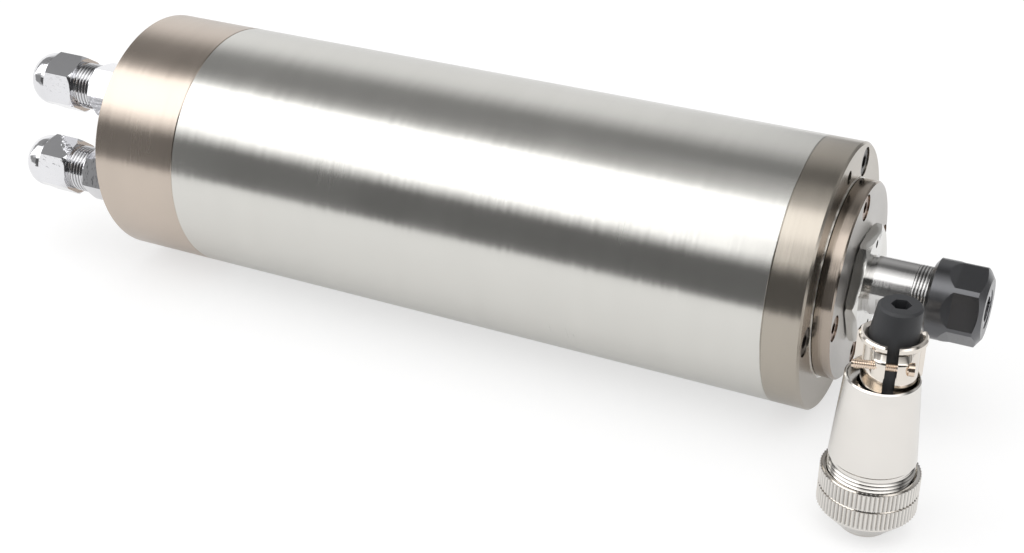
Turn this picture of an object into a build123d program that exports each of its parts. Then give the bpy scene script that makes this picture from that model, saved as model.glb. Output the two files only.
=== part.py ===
from build123d import *
import math
import os

os.makedirs("parts", exist_ok=True)

# Water-cooled motor spindle with an ER11 nose, and its loose power plug.
# Millimetres. +X runs along the axis to the nose, +Z is up, and the origin is
# the middle of the barrel. The barrel lies, and the plug stands, on one plane.

# --- barrel ---
barrel_dia = 65.0
barrel_length = 195.0
rear_cap_length = 25.0
front_cap_length = 9.0
sleeve_wall = 1.5
rear_spigot_length = 6.0
front_spigot_length = 8.0
edge_break = 0.5
seam_break = 0.2
overcut = 1.0

# --- fits and clearances ---
fit_gap = 0.02
run_gap = 0.05
seat_gap = 0.2
air_gap = 0.4
nose_ring_gap = 0.3

# --- water jacket ---
jacket_wall = 6.05
channel_count = 8
channel_width = 9.0
channel_rib = 5.0
channel_depth = 2.5
channel_link_width = 14.0
water_hole_dia = 2.6
water_hole_inset = 4.5
return_hole_inset = 5.7
cross_drill_length = 7.0

# --- seals: o-rings let into grooves ---
seal_section_dia = 0.96
seal_groove_depth = 1.0
seal_groove_width = 1.3
seal_setback = 16.0

# --- stator and rotor ---
stator_length = 80.0
stator_centre_x = 2.5
stator_bore_dia = 30.0
slot_count = 12
slot_width = 4.6
stator_yoke = 2.1
slot_lip = 1.8
slot_mouth_width = 2.0
coil_clearance = 0.1
coil_overhang = 13.0
coil_inset = 1.2
cage_bar_count = 14
cage_bar_dia = 2.8
cage_bar_inset = 2.2
end_ring_width = 5.0
end_ring_height = 4.4

# --- bearings ---
front_bearing_bore = 15.0
front_bearing_od = 32.0
front_bearing_width = 9.0
rear_bearing_bore = 12.0
rear_bearing_od = 28.0
rear_bearing_width = 8.0
ball_dia = 4.7
ball_count = 9
race_wall = 2.7
race_gap = 0.05
housing_lip = 5.7
housing_wall = 5.0
rear_bearing_depth = 14.0
rear_bearing_float = 2.5
preload_washer_thickness = 0.5

# --- shaft ---
shaft_middle_dia = 17.0
shaft_nose_dia = 14.0
shaft_nose_length = 24.7
shaft_rear_dia = 11.0
shaft_rear_length = 7.0
shaft_groove_width = 0.7
shaft_groove_depth = 0.4
wrench_flats_across = 12.5
wrench_flats_start = 2.0
wrench_flats_length = 6.3
wrench_flats_angle = 205.0
nose_thread_length = 11.6
nose_thread_step = 0.07
shaft_bore_length = 12.0
shaft_bore_step = 0.3
lock_nut_width = 4.8
lock_nut_across = 16.0
lock_nut_room = 2.5
lock_nut_side_room = 0.5

# --- bearing cover and nose ring ---
cover_dia = 48.0
cover_thickness = 4.5
cover_spigot_length = 3.0
cover_bore_dia = 20.4
cover_edge = 0.4
nose_ring_across = 26.0
nose_ring_thickness = 2.7
nose_ring_hub_dia = 19.2
nose_ring_chamfer = 0.9
nose_ring_flat_angle = 90.0
nose_ring_hole_dia = 1.9
nose_ring_hole_circle_r = 10.6
nose_ring_hole_depth = 1.8

# --- collet and collet nut ---
collet_length = 18.0
collet_bore_dia = 6.0
collet_tail_dia = 7.5
collet_taper_deg = 8.0
collet_taper_length = 13.6
collet_groove_land = 0.7
collet_groove_width = 1.3
collet_groove_dia = 9.6
collet_head_dia = 10.7
collet_face_dia = 9.0
collet_slot_width = 0.5
collet_slot_count = 4
collet_slot_web = 3.0
collet_recess = 0.2
nut_length = 13.1
nut_dia = 19.0
nut_engagement = 7.9
nut_across_flats = 17.0
nut_hex_length = 7.1
nut_hex_runout = 2.1
nut_hex_angle = 105.0
nut_rear_chamfer = 0.9
nut_rear_chamfer_depth = 1.26
nut_face_dia = 14.4
nut_front_chamfer = 1.5
nut_opening_dia = 9.4
extractor_width = 0.9
extractor_dia = 12.4
extractor_bore = 10.6
extractor_offset = 0.4

# --- screws ---
cap_screw_dia = 4.0
cap_screw_head_dia = 7.0
cap_screw_head_height = 4.0
cap_screw_socket = 3.0
cap_screw_socket_depth = 2.0
cap_screw_recess = 0.3
screw_head_edge = 0.3
screw_tip_edge = 0.5
cap_screw_count = 3
cap_screw_inset = 4.75
front_screw_angle = 66.0
front_screw_length = 20.0
rear_screw_length = 20.0
rear_screw_angle = 43.0
rear_screw_sink = 14.0
cover_screw_count = 4
cover_screw_inset = 3.6
cover_screw_angle = 6.0
cover_screw_length = 10.0
cover_screw_head_dia = 6.2
cover_screw_head_height = 3.0
cover_screw_dia = 3.0
cover_screw_socket = 2.5
jack_hole_count = 2
jack_hole_dia = 3.3
jack_hole_depth = 6.0
jack_hole_inset = 5.1
jack_hole_angle = 96.0

# --- hose fittings ---
fitting_inset = 9.5
upper_fitting_angle = 133.0
lower_fitting_angle = 193.0
fitting_bore_dia = 6.0
fitting_thread_dia = 12.0
fitting_base_across = 13.0
fitting_base_length = 7.0
fitting_body_length = 18.0
fitting_root_dia = 9.6
fitting_root_length = 9.0
fitting_port_depth = 12.0
fitting_washer_thickness = 1.0
fitting_nut_start = 14.0
fitting_nut_length = 14.5
fitting_nut_across = 14.0
fitting_nut_hex_length = 9.0
fitting_nut_end_dia = 9.6
fitting_nut_rim_dia = 14.6
fitting_nut_corner_run = 1.0
fitting_nut_bulge = 0.75
fitting_nut_bulge_shift = 0.6
fitting_hose_dia = 8.2
ferrule_length = 3.0

# --- power socket in the rear cap ---
socket_inset = 11.0
socket_angle = 343.0
socket_flange_dia = 19.0
socket_flange_thickness = 2.0
socket_flats_across = 15.8
socket_barrel_dia = 15.2
socket_barrel_length = 6.0
socket_root_dia = 13.8
socket_root_length = 9.8
socket_wall = 1.5
socket_wire_dia = 7.0
socket_pocket_floor = 0.5
socket_pin_setback = 4.6
socket_pin_tail = 2.0

# --- contacts, alike in the socket and the plug ---
contact_count = 4
contact_dia = 1.0
contact_circle_r = 2.6

# --- power plug ---
plug_x = 119.2
plug_y = -47.1
plug_facing = 13.0
plug_nose_dia = 11.1
plug_nose_length = 8.3
plug_nose_bore = 9.2
plug_neck_dia = 17.7
plug_neck_top = 18.0
plug_root_dia = 16.4
plug_root_length = 5.6
sleeve_bottom = 1.3
sleeve_tip_dia = 12.4
sleeve_lip_bore = 11.5
sleeve_lip_height = 4.2
sleeve_taper_height = 4.1
sleeve_taper_dia = 20.2
knurl_dia = 21.5
knurl_teeth = 68
knurl_depth = 0.35
lower_band_bottom = 6.0
lower_band_top = 10.4
upper_band_bottom = 10.9
upper_band_top = 14.9
sleeve_groove_dia = 20.4
sleeve_top = 15.2
sleeve_mouth_dia = 19.5
sleeve_mouth_depth = 4.2
shell_bottom = 18.35
shell_top = 38.4
shell_bottom_dia = 18.8
shell_top_dia = 15.8
shell_bore_dia = 13.2
shell_floor = 1.0
shell_edge = 0.3
shell_recess_depth = 1.6
shell_recess_dia = 14.3
bush_top = 55.2
bush_dia = 10.3
bush_top_dia = 9.3
bush_straight_top = 47.8
bush_hole_across = 3.7
bush_root = 3.0
clamp_top = 49.8
clamp_rim_dia = 12.9
clamp_rim_height = 1.2
clamp_rim_flare = 1.0
clamp_rim_edge = 0.3
clamp_mouth_edge = 0.5
clamp_tube_dia = 12.0
clamp_back_dia = 14.0
clamp_back_drop = 1.4
clamp_slit = 2.4
clamp_lug_thickness = 2.2
clamp_lug_reach = 8.9
clamp_lug_below_screw = 3.6
clamp_lug_above_screw = 2.8
clamp_lug_inset = 0.3
clamp_lug_round = 0.45
clamp_screw_height = 44.8
clamp_screw_reach = 7.4
clamp_screw_dia = 1.6
clamp_screw_head_dia = 2.8
clamp_screw_head = 1.2
clamp_screw_tail = 3.2
clamp_screw_slot = 0.4
insert_recess = 0.6
insert_length = 7.6
plug_contact_recess = 0.4
plug_contact_tail = 3.0

# --- stations along the axis ---
rear_x = -barrel_length / 2
front_x = barrel_length / 2
barrel_r = barrel_dia / 2
table_z = -barrel_r
sleeve_rear_x = rear_x + rear_cap_length
sleeve_front_x = front_x - front_cap_length
jacket_rear_x = sleeve_rear_x + rear_spigot_length + seat_gap
jacket_front_x = sleeve_front_x - front_spigot_length - seat_gap
jacket_r = barrel_r - sleeve_wall - run_gap
jacket_bore_r = jacket_r - jacket_wall
stator_rear_x = stator_centre_x - stator_length / 2
stator_front_x = stator_centre_x + stator_length / 2
cover_front_x = front_x + cover_thickness
outboard_x = front_x - cover_spigot_length - front_bearing_width
inboard_x = outboard_x - front_bearing_width
rear_bearing_x = rear_x + rear_bearing_depth
nose_ring_x = cover_front_x + nose_ring_gap
nose_ring_front_x = nose_ring_x + nose_ring_thickness
shaft_front_x = cover_front_x + shaft_nose_length
nut_rear_x = shaft_front_x - nut_engagement
nut_front_x = nut_rear_x + nut_length
collet_front_x = nut_front_x - collet_recess
collet_rear_x = collet_front_x - collet_length
rotor_r = stator_bore_dia / 2 - air_gap

# --- circles and depths that follow the pieces around them ---
stator_r = jacket_bore_r - fit_gap
slot_root_r = stator_r - stator_yoke
slot_top_r = stator_bore_dia / 2 + slot_lip
cap_screw_circle_r = barrel_r - cap_screw_inset
cover_screw_circle_r = cover_dia / 2 - cover_screw_inset
jack_hole_circle_r = barrel_r - jack_hole_inset
fitting_circle_r = barrel_r - fitting_inset
socket_circle_r = barrel_r - socket_inset
water_way_circle_r = {"upper": barrel_r - water_hole_inset, "lower": barrel_r - return_hole_inset}
fitting_angles = {"upper": upper_fitting_angle, "lower": lower_fitting_angle}
clamp_lug_bottom = clamp_screw_height - clamp_lug_below_screw
clamp_lug_top = clamp_screw_height + clamp_lug_above_screw


def turned(points, upright=False):
    """A solid turned about X, or about Z when upright, from (along, radius) corners."""
    if upright:
        points = [(radius, 0, along) for along, radius in points]
    return revolve(make_face(Polyline(*points, close=True)), Axis.Z if upright else Axis.X)


def tube(start, end, outer_r, inner_r, upright=False):
    corners = [(start, inner_r), (end, inner_r), (end, outer_r), (start, outer_r)]
    return turned(corners, upright)


def rod(start, end, radius, upright=False):
    return tube(start, end, radius, 0, upright)


def polar(angle, radius, shape):
    """Turn a shape built on the X axis out to a place on a circle round it."""
    return Rot(angle, 0, 0) * Pos(0, radius, 0) * shape


def ring_of(count, first_angle, radius, shape):
    return [polar(first_angle + index * 360 / count, radius, shape) for index in range(count)]


def hex_corner_r(across_flats):
    return across_flats / 2 / math.cos(math.radians(30))


def hex_bar(start, end, across_flats, flat_angle=90.0):
    """Hexagonal bar along X with one flat facing flat_angle."""
    outline = RegularPolygon(across_flats / 2, 6, major_radius=False)
    return Rot(flat_angle - 30, 0, 0) * extrude(Plane.YZ.offset(start) * outline, end - start)


def save(shape, node):
    """Write one node; a list is kept as separate solids of one file."""
    if isinstance(shape, list):
        shape = Compound(children=shape)
    export_step(shape, "parts/" + node + ".step")


def outer_sleeve():
    bore_r = barrel_r - sleeve_wall
    return turned([
        (sleeve_rear_x, bore_r),
        (sleeve_front_x, bore_r),
        (sleeve_front_x, barrel_r - seam_break),
        (sleeve_front_x - seam_break, barrel_r),
        (sleeve_rear_x + seam_break, barrel_r),
        (sleeve_rear_x, barrel_r - seam_break),
    ])


def seal_groove(start, outer_r):
    return tube(start, start + seal_groove_width, outer_r + overcut, outer_r - seal_groove_depth)


def seal(start, outer_r):
    """O-ring lying in the groove that seal_groove cuts."""
    section_r = seal_section_dia / 2
    centre_r = outer_r - seal_groove_depth + section_r + fit_gap
    section = Pos(start + seal_groove_width / 2, centre_r) * Circle(section_r)
    return revolve(section, Axis.X)


def water_jacket():
    """Inner barrel with ring channels, linked on alternate sides, under the sleeve."""
    body = tube(jacket_rear_x, jacket_front_x, jacket_r, jacket_bore_r)
    pitch = channel_width + channel_rib
    first_x = stator_centre_x - (channel_count * pitch - channel_rib) / 2
    floor_r = jacket_r - channel_depth
    for index in range(channel_count):
        start = first_x + index * pitch
        body -= tube(start, start + channel_width, jacket_r + overcut, floor_r)
    for index in range(channel_count - 1):
        side = 1 if index % 2 else -1
        middle = first_x + index * pitch + channel_width + channel_rib / 2
        link_depth = channel_depth + overcut
        link = Box(channel_rib + overcut, link_depth, channel_link_width)
        body -= Pos(middle, side * (floor_r + link_depth / 2), 0) * link
    for start in jacket_seal_stations():
        body -= seal_groove(start, jacket_r)
    inlet = rod(jacket_rear_x - overcut, first_x + overcut, water_hole_dia / 2)
    body -= polar(upper_fitting_angle, water_way_circle_r["upper"], inlet)
    last_x = first_x + (channel_count - 1) * pitch + channel_width / 2
    outlet = rod(jacket_rear_x - overcut, last_x, water_hole_dia / 2)
    outlet += Pos(last_x, channel_depth, 0) * Rot(90, 0, 0) * Cylinder(water_hole_dia / 2, cross_drill_length)
    body -= polar(lower_fitting_angle, water_way_circle_r["lower"], outlet)
    front_hole = rod(jacket_front_x - screw_bite(), jacket_front_x + overcut, thread_hole_r())
    rear_hole = rod(jacket_rear_x - overcut, jacket_rear_x + screw_bite(), thread_hole_r())
    for hole in screw_ring(front_screw_angle, front_hole) + screw_ring(rear_screw_angle, rear_hole):
        body -= hole
    return body


def jacket_seal_stations():
    return [jacket_rear_x + seal_setback, jacket_front_x - seal_setback - seal_groove_width]


def thread_hole_r():
    return cap_screw_dia / 2 + fit_gap


def screw_bite():
    """Length of thread that the front screws have in the jacket."""
    cap_under_head = front_cap_length - cap_screw_recess - cap_screw_head_height
    return front_screw_length - cap_under_head - front_spigot_length


def screw_ring(first_angle, shape):
    return ring_of(cap_screw_count, first_angle, cap_screw_circle_r, shape)


def cap_screw(head_top, direction, length, dia, head_dia, head_height, socket, socket_depth):
    """Socket-head cap screw on the X axis; direction is the way the shank points."""
    head_end = head_top + direction * head_height
    edge_x = head_top + direction * screw_head_edge
    shank_end = head_end + direction * length
    screw = turned([
        (head_top, 0),
        (head_top, head_dia / 2 - screw_head_edge),
        (edge_x, head_dia / 2),
        (head_end, head_dia / 2),
        (head_end, dia / 2),
        (shank_end - direction * screw_tip_edge, dia / 2),
        (shank_end, dia / 2 - screw_tip_edge),
        (shank_end, 0),
    ])
    near, far = sorted((head_top - direction * overcut, head_top + direction * socket_depth))
    return screw - hex_bar(near, far, socket)


def large_screw(head_top, direction, length):
    return cap_screw(
        head_top, direction, length, cap_screw_dia, cap_screw_head_dia,
        cap_screw_head_height, cap_screw_socket, cap_screw_socket_depth)


def front_screw_top():
    return front_x - cap_screw_recess


def rear_screw_top():
    return rear_x + rear_screw_sink


def head_pocket_r(head_dia):
    return head_dia / 2 + run_gap


def front_cap():
    """Front flange with its spigot and the housing of the front bearing pair."""
    spigot_x = sleeve_front_x - front_spigot_length
    seat_r = front_bearing_od / 2 + fit_gap
    lip_r = seat_r - housing_lip
    back_x = inboard_x - housing_lip
    cap = turned([
        (back_x, lip_r),
        (inboard_x, lip_r),
        (inboard_x, seat_r),
        (front_x, seat_r),
        (front_x, barrel_r - edge_break),
        (front_x - edge_break, barrel_r),
        (sleeve_front_x + seam_break, barrel_r),
        (sleeve_front_x, barrel_r - seam_break),
        (sleeve_front_x, barrel_r - sleeve_wall - run_gap),
        (spigot_x, barrel_r - sleeve_wall - run_gap),
        (spigot_x, seat_r + housing_wall),
        (back_x, seat_r + housing_wall),
    ])
    cap -= seal_groove(front_seal_x(), barrel_r - sleeve_wall - run_gap)
    head_seat = front_screw_top() - cap_screw_head_height
    pocket = rod(head_seat, front_x + overcut, head_pocket_r(cap_screw_head_dia))
    pocket += rod(spigot_x - overcut, head_seat + overcut, thread_hole_r())
    for hole in screw_ring(front_screw_angle, pocket):
        cap -= hole
    tip = cover_screw_tip()
    for hole in cover_screw_ring(rod(tip - overcut, front_x + overcut, cover_screw_dia / 2 + fit_gap)):
        cap -= hole
    jack_hole = rod(front_x - jack_hole_depth, front_x + overcut, jack_hole_dia / 2)
    for hole in ring_of(jack_hole_count, jack_hole_angle, jack_hole_circle_r, jack_hole):
        cap -= hole
    return cap


def front_seal_x():
    return sleeve_front_x - (front_spigot_length + seal_groove_width) / 2


def rear_seal_x():
    return sleeve_rear_x + (rear_spigot_length - seal_groove_width) / 2


def cover_screw_top():
    return cover_front_x - cap_screw_recess


def cover_screw_tip():
    return cover_screw_top() - cover_screw_head_height - cover_screw_length


def cover_screw_ring(shape):
    return ring_of(cover_screw_count, cover_screw_angle, cover_screw_circle_r, shape)


def bearing_cover():
    """Front disc whose spigot clamps the outer bearing rings."""
    spigot_x = front_x - cover_spigot_length
    bore_r = cover_bore_dia / 2
    disc = turned([
        (spigot_x, bore_r),
        (cover_front_x - cover_edge, bore_r),
        (cover_front_x, bore_r + cover_edge),
        (cover_front_x, cover_dia / 2 - cover_edge),
        (cover_front_x - cover_edge, cover_dia / 2),
        (front_x + cover_edge, cover_dia / 2),
        (front_x, cover_dia / 2 - cover_edge),
        (front_x, front_bearing_od / 2),
        (spigot_x, front_bearing_od / 2),
    ])
    head_seat = cover_screw_top() - cover_screw_head_height
    pocket = rod(head_seat, cover_front_x + overcut, head_pocket_r(cover_screw_head_dia))
    pocket += rod(spigot_x - overcut, head_seat + overcut, cover_screw_dia / 2 + fit_gap)
    for hole in cover_screw_ring(pocket):
        disc -= hole
    return disc


def rear_cap():
    """Rear flange with the rear bearing seat, hose ports, water ways and socket hole."""
    inner_x = sleeve_rear_x + rear_spigot_length
    seat_r = rear_bearing_od / 2 + fit_gap
    spigot_r = barrel_r - sleeve_wall - run_gap
    room_x = rear_bearing_x - rear_bearing_float
    room_r = hex_corner_r(lock_nut_across) + lock_nut_side_room
    room_floor = rear_bearing_x - lock_nut_width - lock_nut_room
    cap = turned([
        (rear_x, 0),
        (room_floor, 0),
        (room_floor, room_r),
        (room_x, room_r),
        (room_x, seat_r),
        (inner_x, seat_r),
        (inner_x, spigot_r),
        (sleeve_rear_x, spigot_r),
        (sleeve_rear_x, barrel_r - seam_break),
        (sleeve_rear_x - seam_break, barrel_r),
        (rear_x + edge_break, barrel_r),
        (rear_x, barrel_r - edge_break),
    ])
    cap -= seal_groove(rear_seal_x(), spigot_r)
    port_end = rear_x + fitting_port_depth
    port = rod(rear_x - overcut, port_end, fitting_root_dia / 2 + fit_gap)
    run = inner_x - port_end
    for name, angle in fitting_angles.items():
        climb = water_way_circle_r[name] - fitting_circle_r
        lean = math.degrees(math.atan2(climb, run))
        way = Rot(0, 0, lean) * rod(-overcut, math.hypot(run, climb) + water_hole_dia, water_hole_dia / 2)
        cap -= polar(angle, fitting_circle_r, port + Pos(port_end, 0, 0) * way)
    socket_hole = rod(rear_x - overcut, rear_x + socket_root_length + seat_gap, socket_root_dia / 2 + fit_gap)
    socket_hole += rod(rear_x, inner_x + overcut, socket_wire_dia / 2)
    cap -= polar(socket_angle, socket_circle_r, socket_hole)
    head_seat = rear_screw_top() + cap_screw_head_height
    pocket = rod(rear_x - overcut, head_seat, head_pocket_r(cap_screw_head_dia))
    pocket += rod(head_seat - overcut, inner_x + overcut, thread_hole_r())
    for hole in screw_ring(rear_screw_angle, pocket):
        cap -= hole
    return cap


def slot_cut(start, end, clearance):
    """The coil's room in one stator slot, on the +Y side."""
    inner_r = slot_top_r + clearance
    outer_r = slot_root_r - clearance
    body = Box(end - start, outer_r - inner_r, slot_width - 2 * clearance)
    return Pos((start + end) / 2, (inner_r + outer_r) / 2, 0) * body


def stator_core():
    core = tube(stator_rear_x, stator_front_x, stator_r, stator_bore_dia / 2)
    mouth_r = stator_bore_dia / 2 + slot_lip / 2
    length = stator_length + 2 * overcut
    mouth = Pos(stator_centre_x, mouth_r, 0) * Box(length, slot_lip + overcut, slot_mouth_width)
    slot = slot_cut(stator_rear_x - overcut, stator_front_x + overcut, 0) + mouth
    for cut in ring_of(slot_count, 0, 0, slot):
        core -= cut
    return core


def stator_windings():
    """Two end turns joined by the coil sides that fill the slots."""
    inner_r = slot_top_r + coil_clearance
    outer_r = slot_root_r - coil_clearance
    coils = None
    for side in (-1, 1):
        near = stator_centre_x + side * (stator_length / 2 + seat_gap)
        far = near + side * (coil_overhang - seat_gap)
        shoulder = far - side * coil_inset
        end_turn = turned([
            (near, inner_r),
            (shoulder, inner_r),
            (far, inner_r + coil_inset),
            (far, outer_r - coil_inset),
            (shoulder, outer_r),
            (near, outer_r),
        ])
        coils = end_turn if coils is None else coils + end_turn
    reach = stator_length / 2 + coil_inset
    side_bar = slot_cut(stator_centre_x - reach, stator_centre_x + reach, coil_clearance)
    for bar in ring_of(slot_count, 0, 0, side_bar):
        coils += bar
    return coils


def cage_circle_r():
    return rotor_r - cage_bar_inset


def rotor_core():
    core = tube(stator_rear_x, stator_front_x, rotor_r, shaft_middle_dia / 2 + fit_gap)
    bar_hole = rod(stator_rear_x - overcut, stator_front_x + overcut, cage_bar_dia / 2)
    for hole in ring_of(cage_bar_count, 0, cage_circle_r(), bar_hole):
        core -= hole
    return core


def rotor_cage():
    """Squirrel cage: bars through the core between two end rings."""
    outer_r = cage_circle_r() + end_ring_height / 2
    inner_r = cage_circle_r() - end_ring_height / 2
    gap = fit_gap
    cage = tube(stator_rear_x - gap - end_ring_width, stator_rear_x - gap, outer_r, inner_r)
    cage += tube(stator_front_x + gap, stator_front_x + gap + end_ring_width, outer_r, inner_r)
    reach = end_ring_width / 2
    bar = rod(stator_rear_x - reach, stator_front_x + reach, cage_bar_dia / 2 - fit_gap)
    for piece in ring_of(cage_bar_count, 0, cage_circle_r(), bar):
        cage += piece
    return cage


def race_groove(middle, pitch_r):
    section = Pos(middle, pitch_r) * Circle(ball_dia / 2 + race_gap)
    return revolve(section, Axis.X)


def bearing(start, bore, outer, width):
    """Inner ring, outer ring and balls of one angular-contact bearing."""
    pitch_r = (bore + outer) / 4
    middle = start + width / 2
    groove = race_groove(middle, pitch_r)
    inner = tube(start, start + width, bore / 2 + race_wall, bore / 2 + fit_gap) - groove
    outer_ring = tube(start, start + width, outer / 2, outer / 2 - race_wall) - groove
    balls = ring_of(ball_count, 0, pitch_r, Pos(middle, 0, 0) * Sphere(ball_dia / 2))
    return inner, outer_ring, balls


def preload_washer():
    """Conical spring between the rear cap and the rear bearing's outer ring."""
    wide_x = rear_bearing_x - rear_bearing_float
    narrow_x = rear_bearing_x - preload_washer_thickness
    outer_r = rear_bearing_od / 2 - fit_gap
    inner_r = outer_r - race_wall + fit_gap
    return turned([
        (wide_x, outer_r),
        (narrow_x, inner_r),
        (rear_bearing_x, inner_r),
        (wide_x + preload_washer_thickness, outer_r),
    ])


def nose_shaft():
    """Shaft: rear thread, bearing seats, rotor seat, nose with taper bore and thread."""
    rear_seat_end = rear_bearing_x + rear_bearing_width
    rear_end = rear_bearing_x - shaft_rear_length
    hub_x = outboard_x + front_bearing_width
    nose_r = shaft_nose_dia / 2
    groove_end = nose_ring_front_x + shaft_groove_width
    thread_x = shaft_front_x - nose_thread_length
    thread_r = nose_r - nose_thread_step
    mouth_r = taper_r(shaft_front_x) + run_gap
    taper_end = collet_rear_x - seat_gap
    taper_end_r = taper_r(taper_end) + run_gap
    bore_r = taper_end_r - shaft_bore_step
    bore_end = taper_end - shaft_bore_length
    shaft = turned([
        (rear_end, 0),
        (rear_end, shaft_rear_dia / 2 - edge_break),
        (rear_end + edge_break, shaft_rear_dia / 2),
        (rear_bearing_x, shaft_rear_dia / 2),
        (rear_bearing_x, rear_bearing_bore / 2),
        (rear_seat_end, rear_bearing_bore / 2),
        (rear_seat_end, shaft_middle_dia / 2),
        (inboard_x, shaft_middle_dia / 2),
        (inboard_x, front_bearing_bore / 2),
        (hub_x, front_bearing_bore / 2),
        (hub_x, nose_r),
        (nose_ring_front_x, nose_r),
        (nose_ring_front_x, nose_r - shaft_groove_depth),
        (groove_end, nose_r - shaft_groove_depth),
        (groove_end, nose_r),
        (thread_x, nose_r),
        (thread_x, thread_r),
        (shaft_front_x - edge_break, thread_r),
        (shaft_front_x, thread_r - edge_break),
        (shaft_front_x, mouth_r),
        (taper_end, taper_end_r),
        (taper_end, bore_r),
        (bore_end, bore_r),
        (bore_end - bore_r / 2, 0),
    ])
    flat_start = groove_end + wrench_flats_start
    cutter = Box(wrench_flats_length, nose_r, shaft_nose_dia)
    cutter = Pos(flat_start + wrench_flats_length / 2, (wrench_flats_across + nose_r) / 2, 0) * cutter
    for cut in ring_of(2, wrench_flats_angle, 0, cutter):
        shaft -= cut
    return shaft


def taper_r(station):
    """Radius of the collet's long taper at a station along the axis."""
    return collet_tail_dia / 2 + (station - collet_rear_x) * math.tan(math.radians(collet_taper_deg))


def nose_ring():
    """Hexagonal ring on the shaft; its hub clamps the inner bearing rings."""
    hub_x = outboard_x + front_bearing_width
    bore_r = shaft_nose_dia / 2 + fit_gap
    corner_r = hex_corner_r(nose_ring_across)
    run = nose_ring_chamfer
    slope = run * math.tan(math.radians(60))
    blank = turned([
        (nose_ring_x, bore_r),
        (nose_ring_front_x, bore_r),
        (nose_ring_front_x, corner_r - slope),
        (nose_ring_front_x - run, corner_r),
        (nose_ring_x + run / 2, corner_r),
        (nose_ring_x, corner_r - slope / 2),
    ])
    ring = blank & hex_bar(nose_ring_x, nose_ring_front_x, nose_ring_across, nose_ring_flat_angle)
    ring += tube(hub_x, nose_ring_front_x, nose_ring_hub_dia / 2, bore_r)
    hole = rod(nose_ring_front_x - nose_ring_hole_depth, nose_ring_front_x + overcut, nose_ring_hole_dia / 2)
    for cut in ring_of(2, nose_ring_flat_angle, nose_ring_hole_circle_r, hole):
        ring -= cut
    return ring


def rear_lock_nut():
    start = rear_bearing_x - lock_nut_width
    nut = hex_bar(start, rear_bearing_x, lock_nut_across)
    return nut - rod(start - overcut, rear_bearing_x + overcut, shaft_rear_dia / 2 + fit_gap)


def collet():
    """Spring collet: long taper, extractor groove, short front cone and saw cuts."""
    shoulder_x = collet_rear_x + collet_taper_length
    groove_x = collet_groove_x()
    head_x = groove_x + collet_groove_width
    tail_r = collet_tail_dia / 2
    body = turned([
        (collet_rear_x, collet_bore_dia / 2),
        (collet_rear_x, tail_r),
        (shoulder_x, taper_r(shoulder_x)),
        (groove_x, taper_r(shoulder_x)),
        (groove_x, collet_groove_dia / 2),
        (head_x, collet_groove_dia / 2),
        (head_x, collet_head_dia / 2),
        (collet_front_x, collet_face_dia / 2),
        (collet_front_x, collet_bore_dia / 2),
    ])
    length = collet_length - collet_slot_web + overcut
    shift = length / 2 - overcut
    saw = Box(length, collet_head_dia, collet_slot_width)
    front_saw = Pos(collet_front_x - shift, collet_head_dia / 2, 0) * saw
    rear_saw = Pos(collet_rear_x + shift, collet_head_dia / 2, 0) * saw
    step = 180 / collet_slot_count
    for cut in ring_of(collet_slot_count, 0, 0, front_saw) + ring_of(collet_slot_count, step, 0, rear_saw):
        body -= cut
    return body


def collet_groove_x():
    return collet_rear_x + collet_taper_length + collet_groove_land


def head_cone_r(station):
    """Radius of the collet's front cone at a station along the axis."""
    head_x = collet_groove_x() + collet_groove_width
    share = (station - head_x) / (collet_front_x - head_x)
    return (collet_head_dia + (collet_face_dia - collet_head_dia) * share) / 2


def extractor_x():
    return collet_groove_x() + (collet_groove_width - extractor_width) / 2


def extractor_ring():
    """Eccentric ring in the nut that drags the collet out by its groove."""
    start = extractor_x()
    end = start + extractor_width
    ring = rod(start, end, extractor_dia / 2)
    return ring - Pos(0, extractor_offset, 0) * rod(start - overcut, end + overcut, extractor_bore / 2)


def collet_nut():
    """Collet nut: round collar, milled hexagon, internal thread bore and front cone."""
    outer_r = nut_dia / 2
    hex_x = nut_front_x - nut_hex_length
    thread_r = shaft_nose_dia / 2 - nose_thread_step + run_gap
    ring_x = extractor_x() - fit_gap
    ring_end = ring_x + extractor_width + 2 * fit_gap
    cone_x = collet_groove_x() + collet_groove_width
    face_r = nut_face_dia / 2
    nut = turned([
        (nut_rear_x, thread_r + edge_break),
        (nut_rear_x + edge_break, thread_r),
        (ring_x - edge_break, thread_r),
        (ring_x, extractor_dia / 2 + fit_gap),
        (ring_end, extractor_dia / 2 + fit_gap),
        (ring_end, head_cone_r(ring_end) + run_gap),
        (cone_x, head_cone_r(cone_x) + run_gap),
        (collet_front_x, head_cone_r(collet_front_x) + run_gap),
        (nut_front_x, nut_opening_dia / 2),
        (nut_front_x, face_r),
        (nut_front_x - nut_front_chamfer, outer_r),
        (nut_rear_x + nut_rear_chamfer, outer_r),
        (nut_rear_x, outer_r - nut_rear_chamfer_depth),
    ])
    flat_r = nut_across_flats / 2
    outside = nut_dia
    climb = (outside - flat_r) / (outer_r - flat_r) * nut_hex_runout
    profile = make_face(Polyline(
        (hex_x, flat_r),
        (nut_front_x + overcut, flat_r),
        (nut_front_x + overcut, outside),
        (hex_x - climb, outside),
        close=True))
    cutter = extrude(profile, outer_r, both=True)
    for cut in ring_of(6, nut_hex_angle, 0, cutter):
        nut -= cut
    return nut


def outward(distance):
    """Station at a distance behind the rear face, where fittings and socket stand."""
    return rear_x - distance


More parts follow.
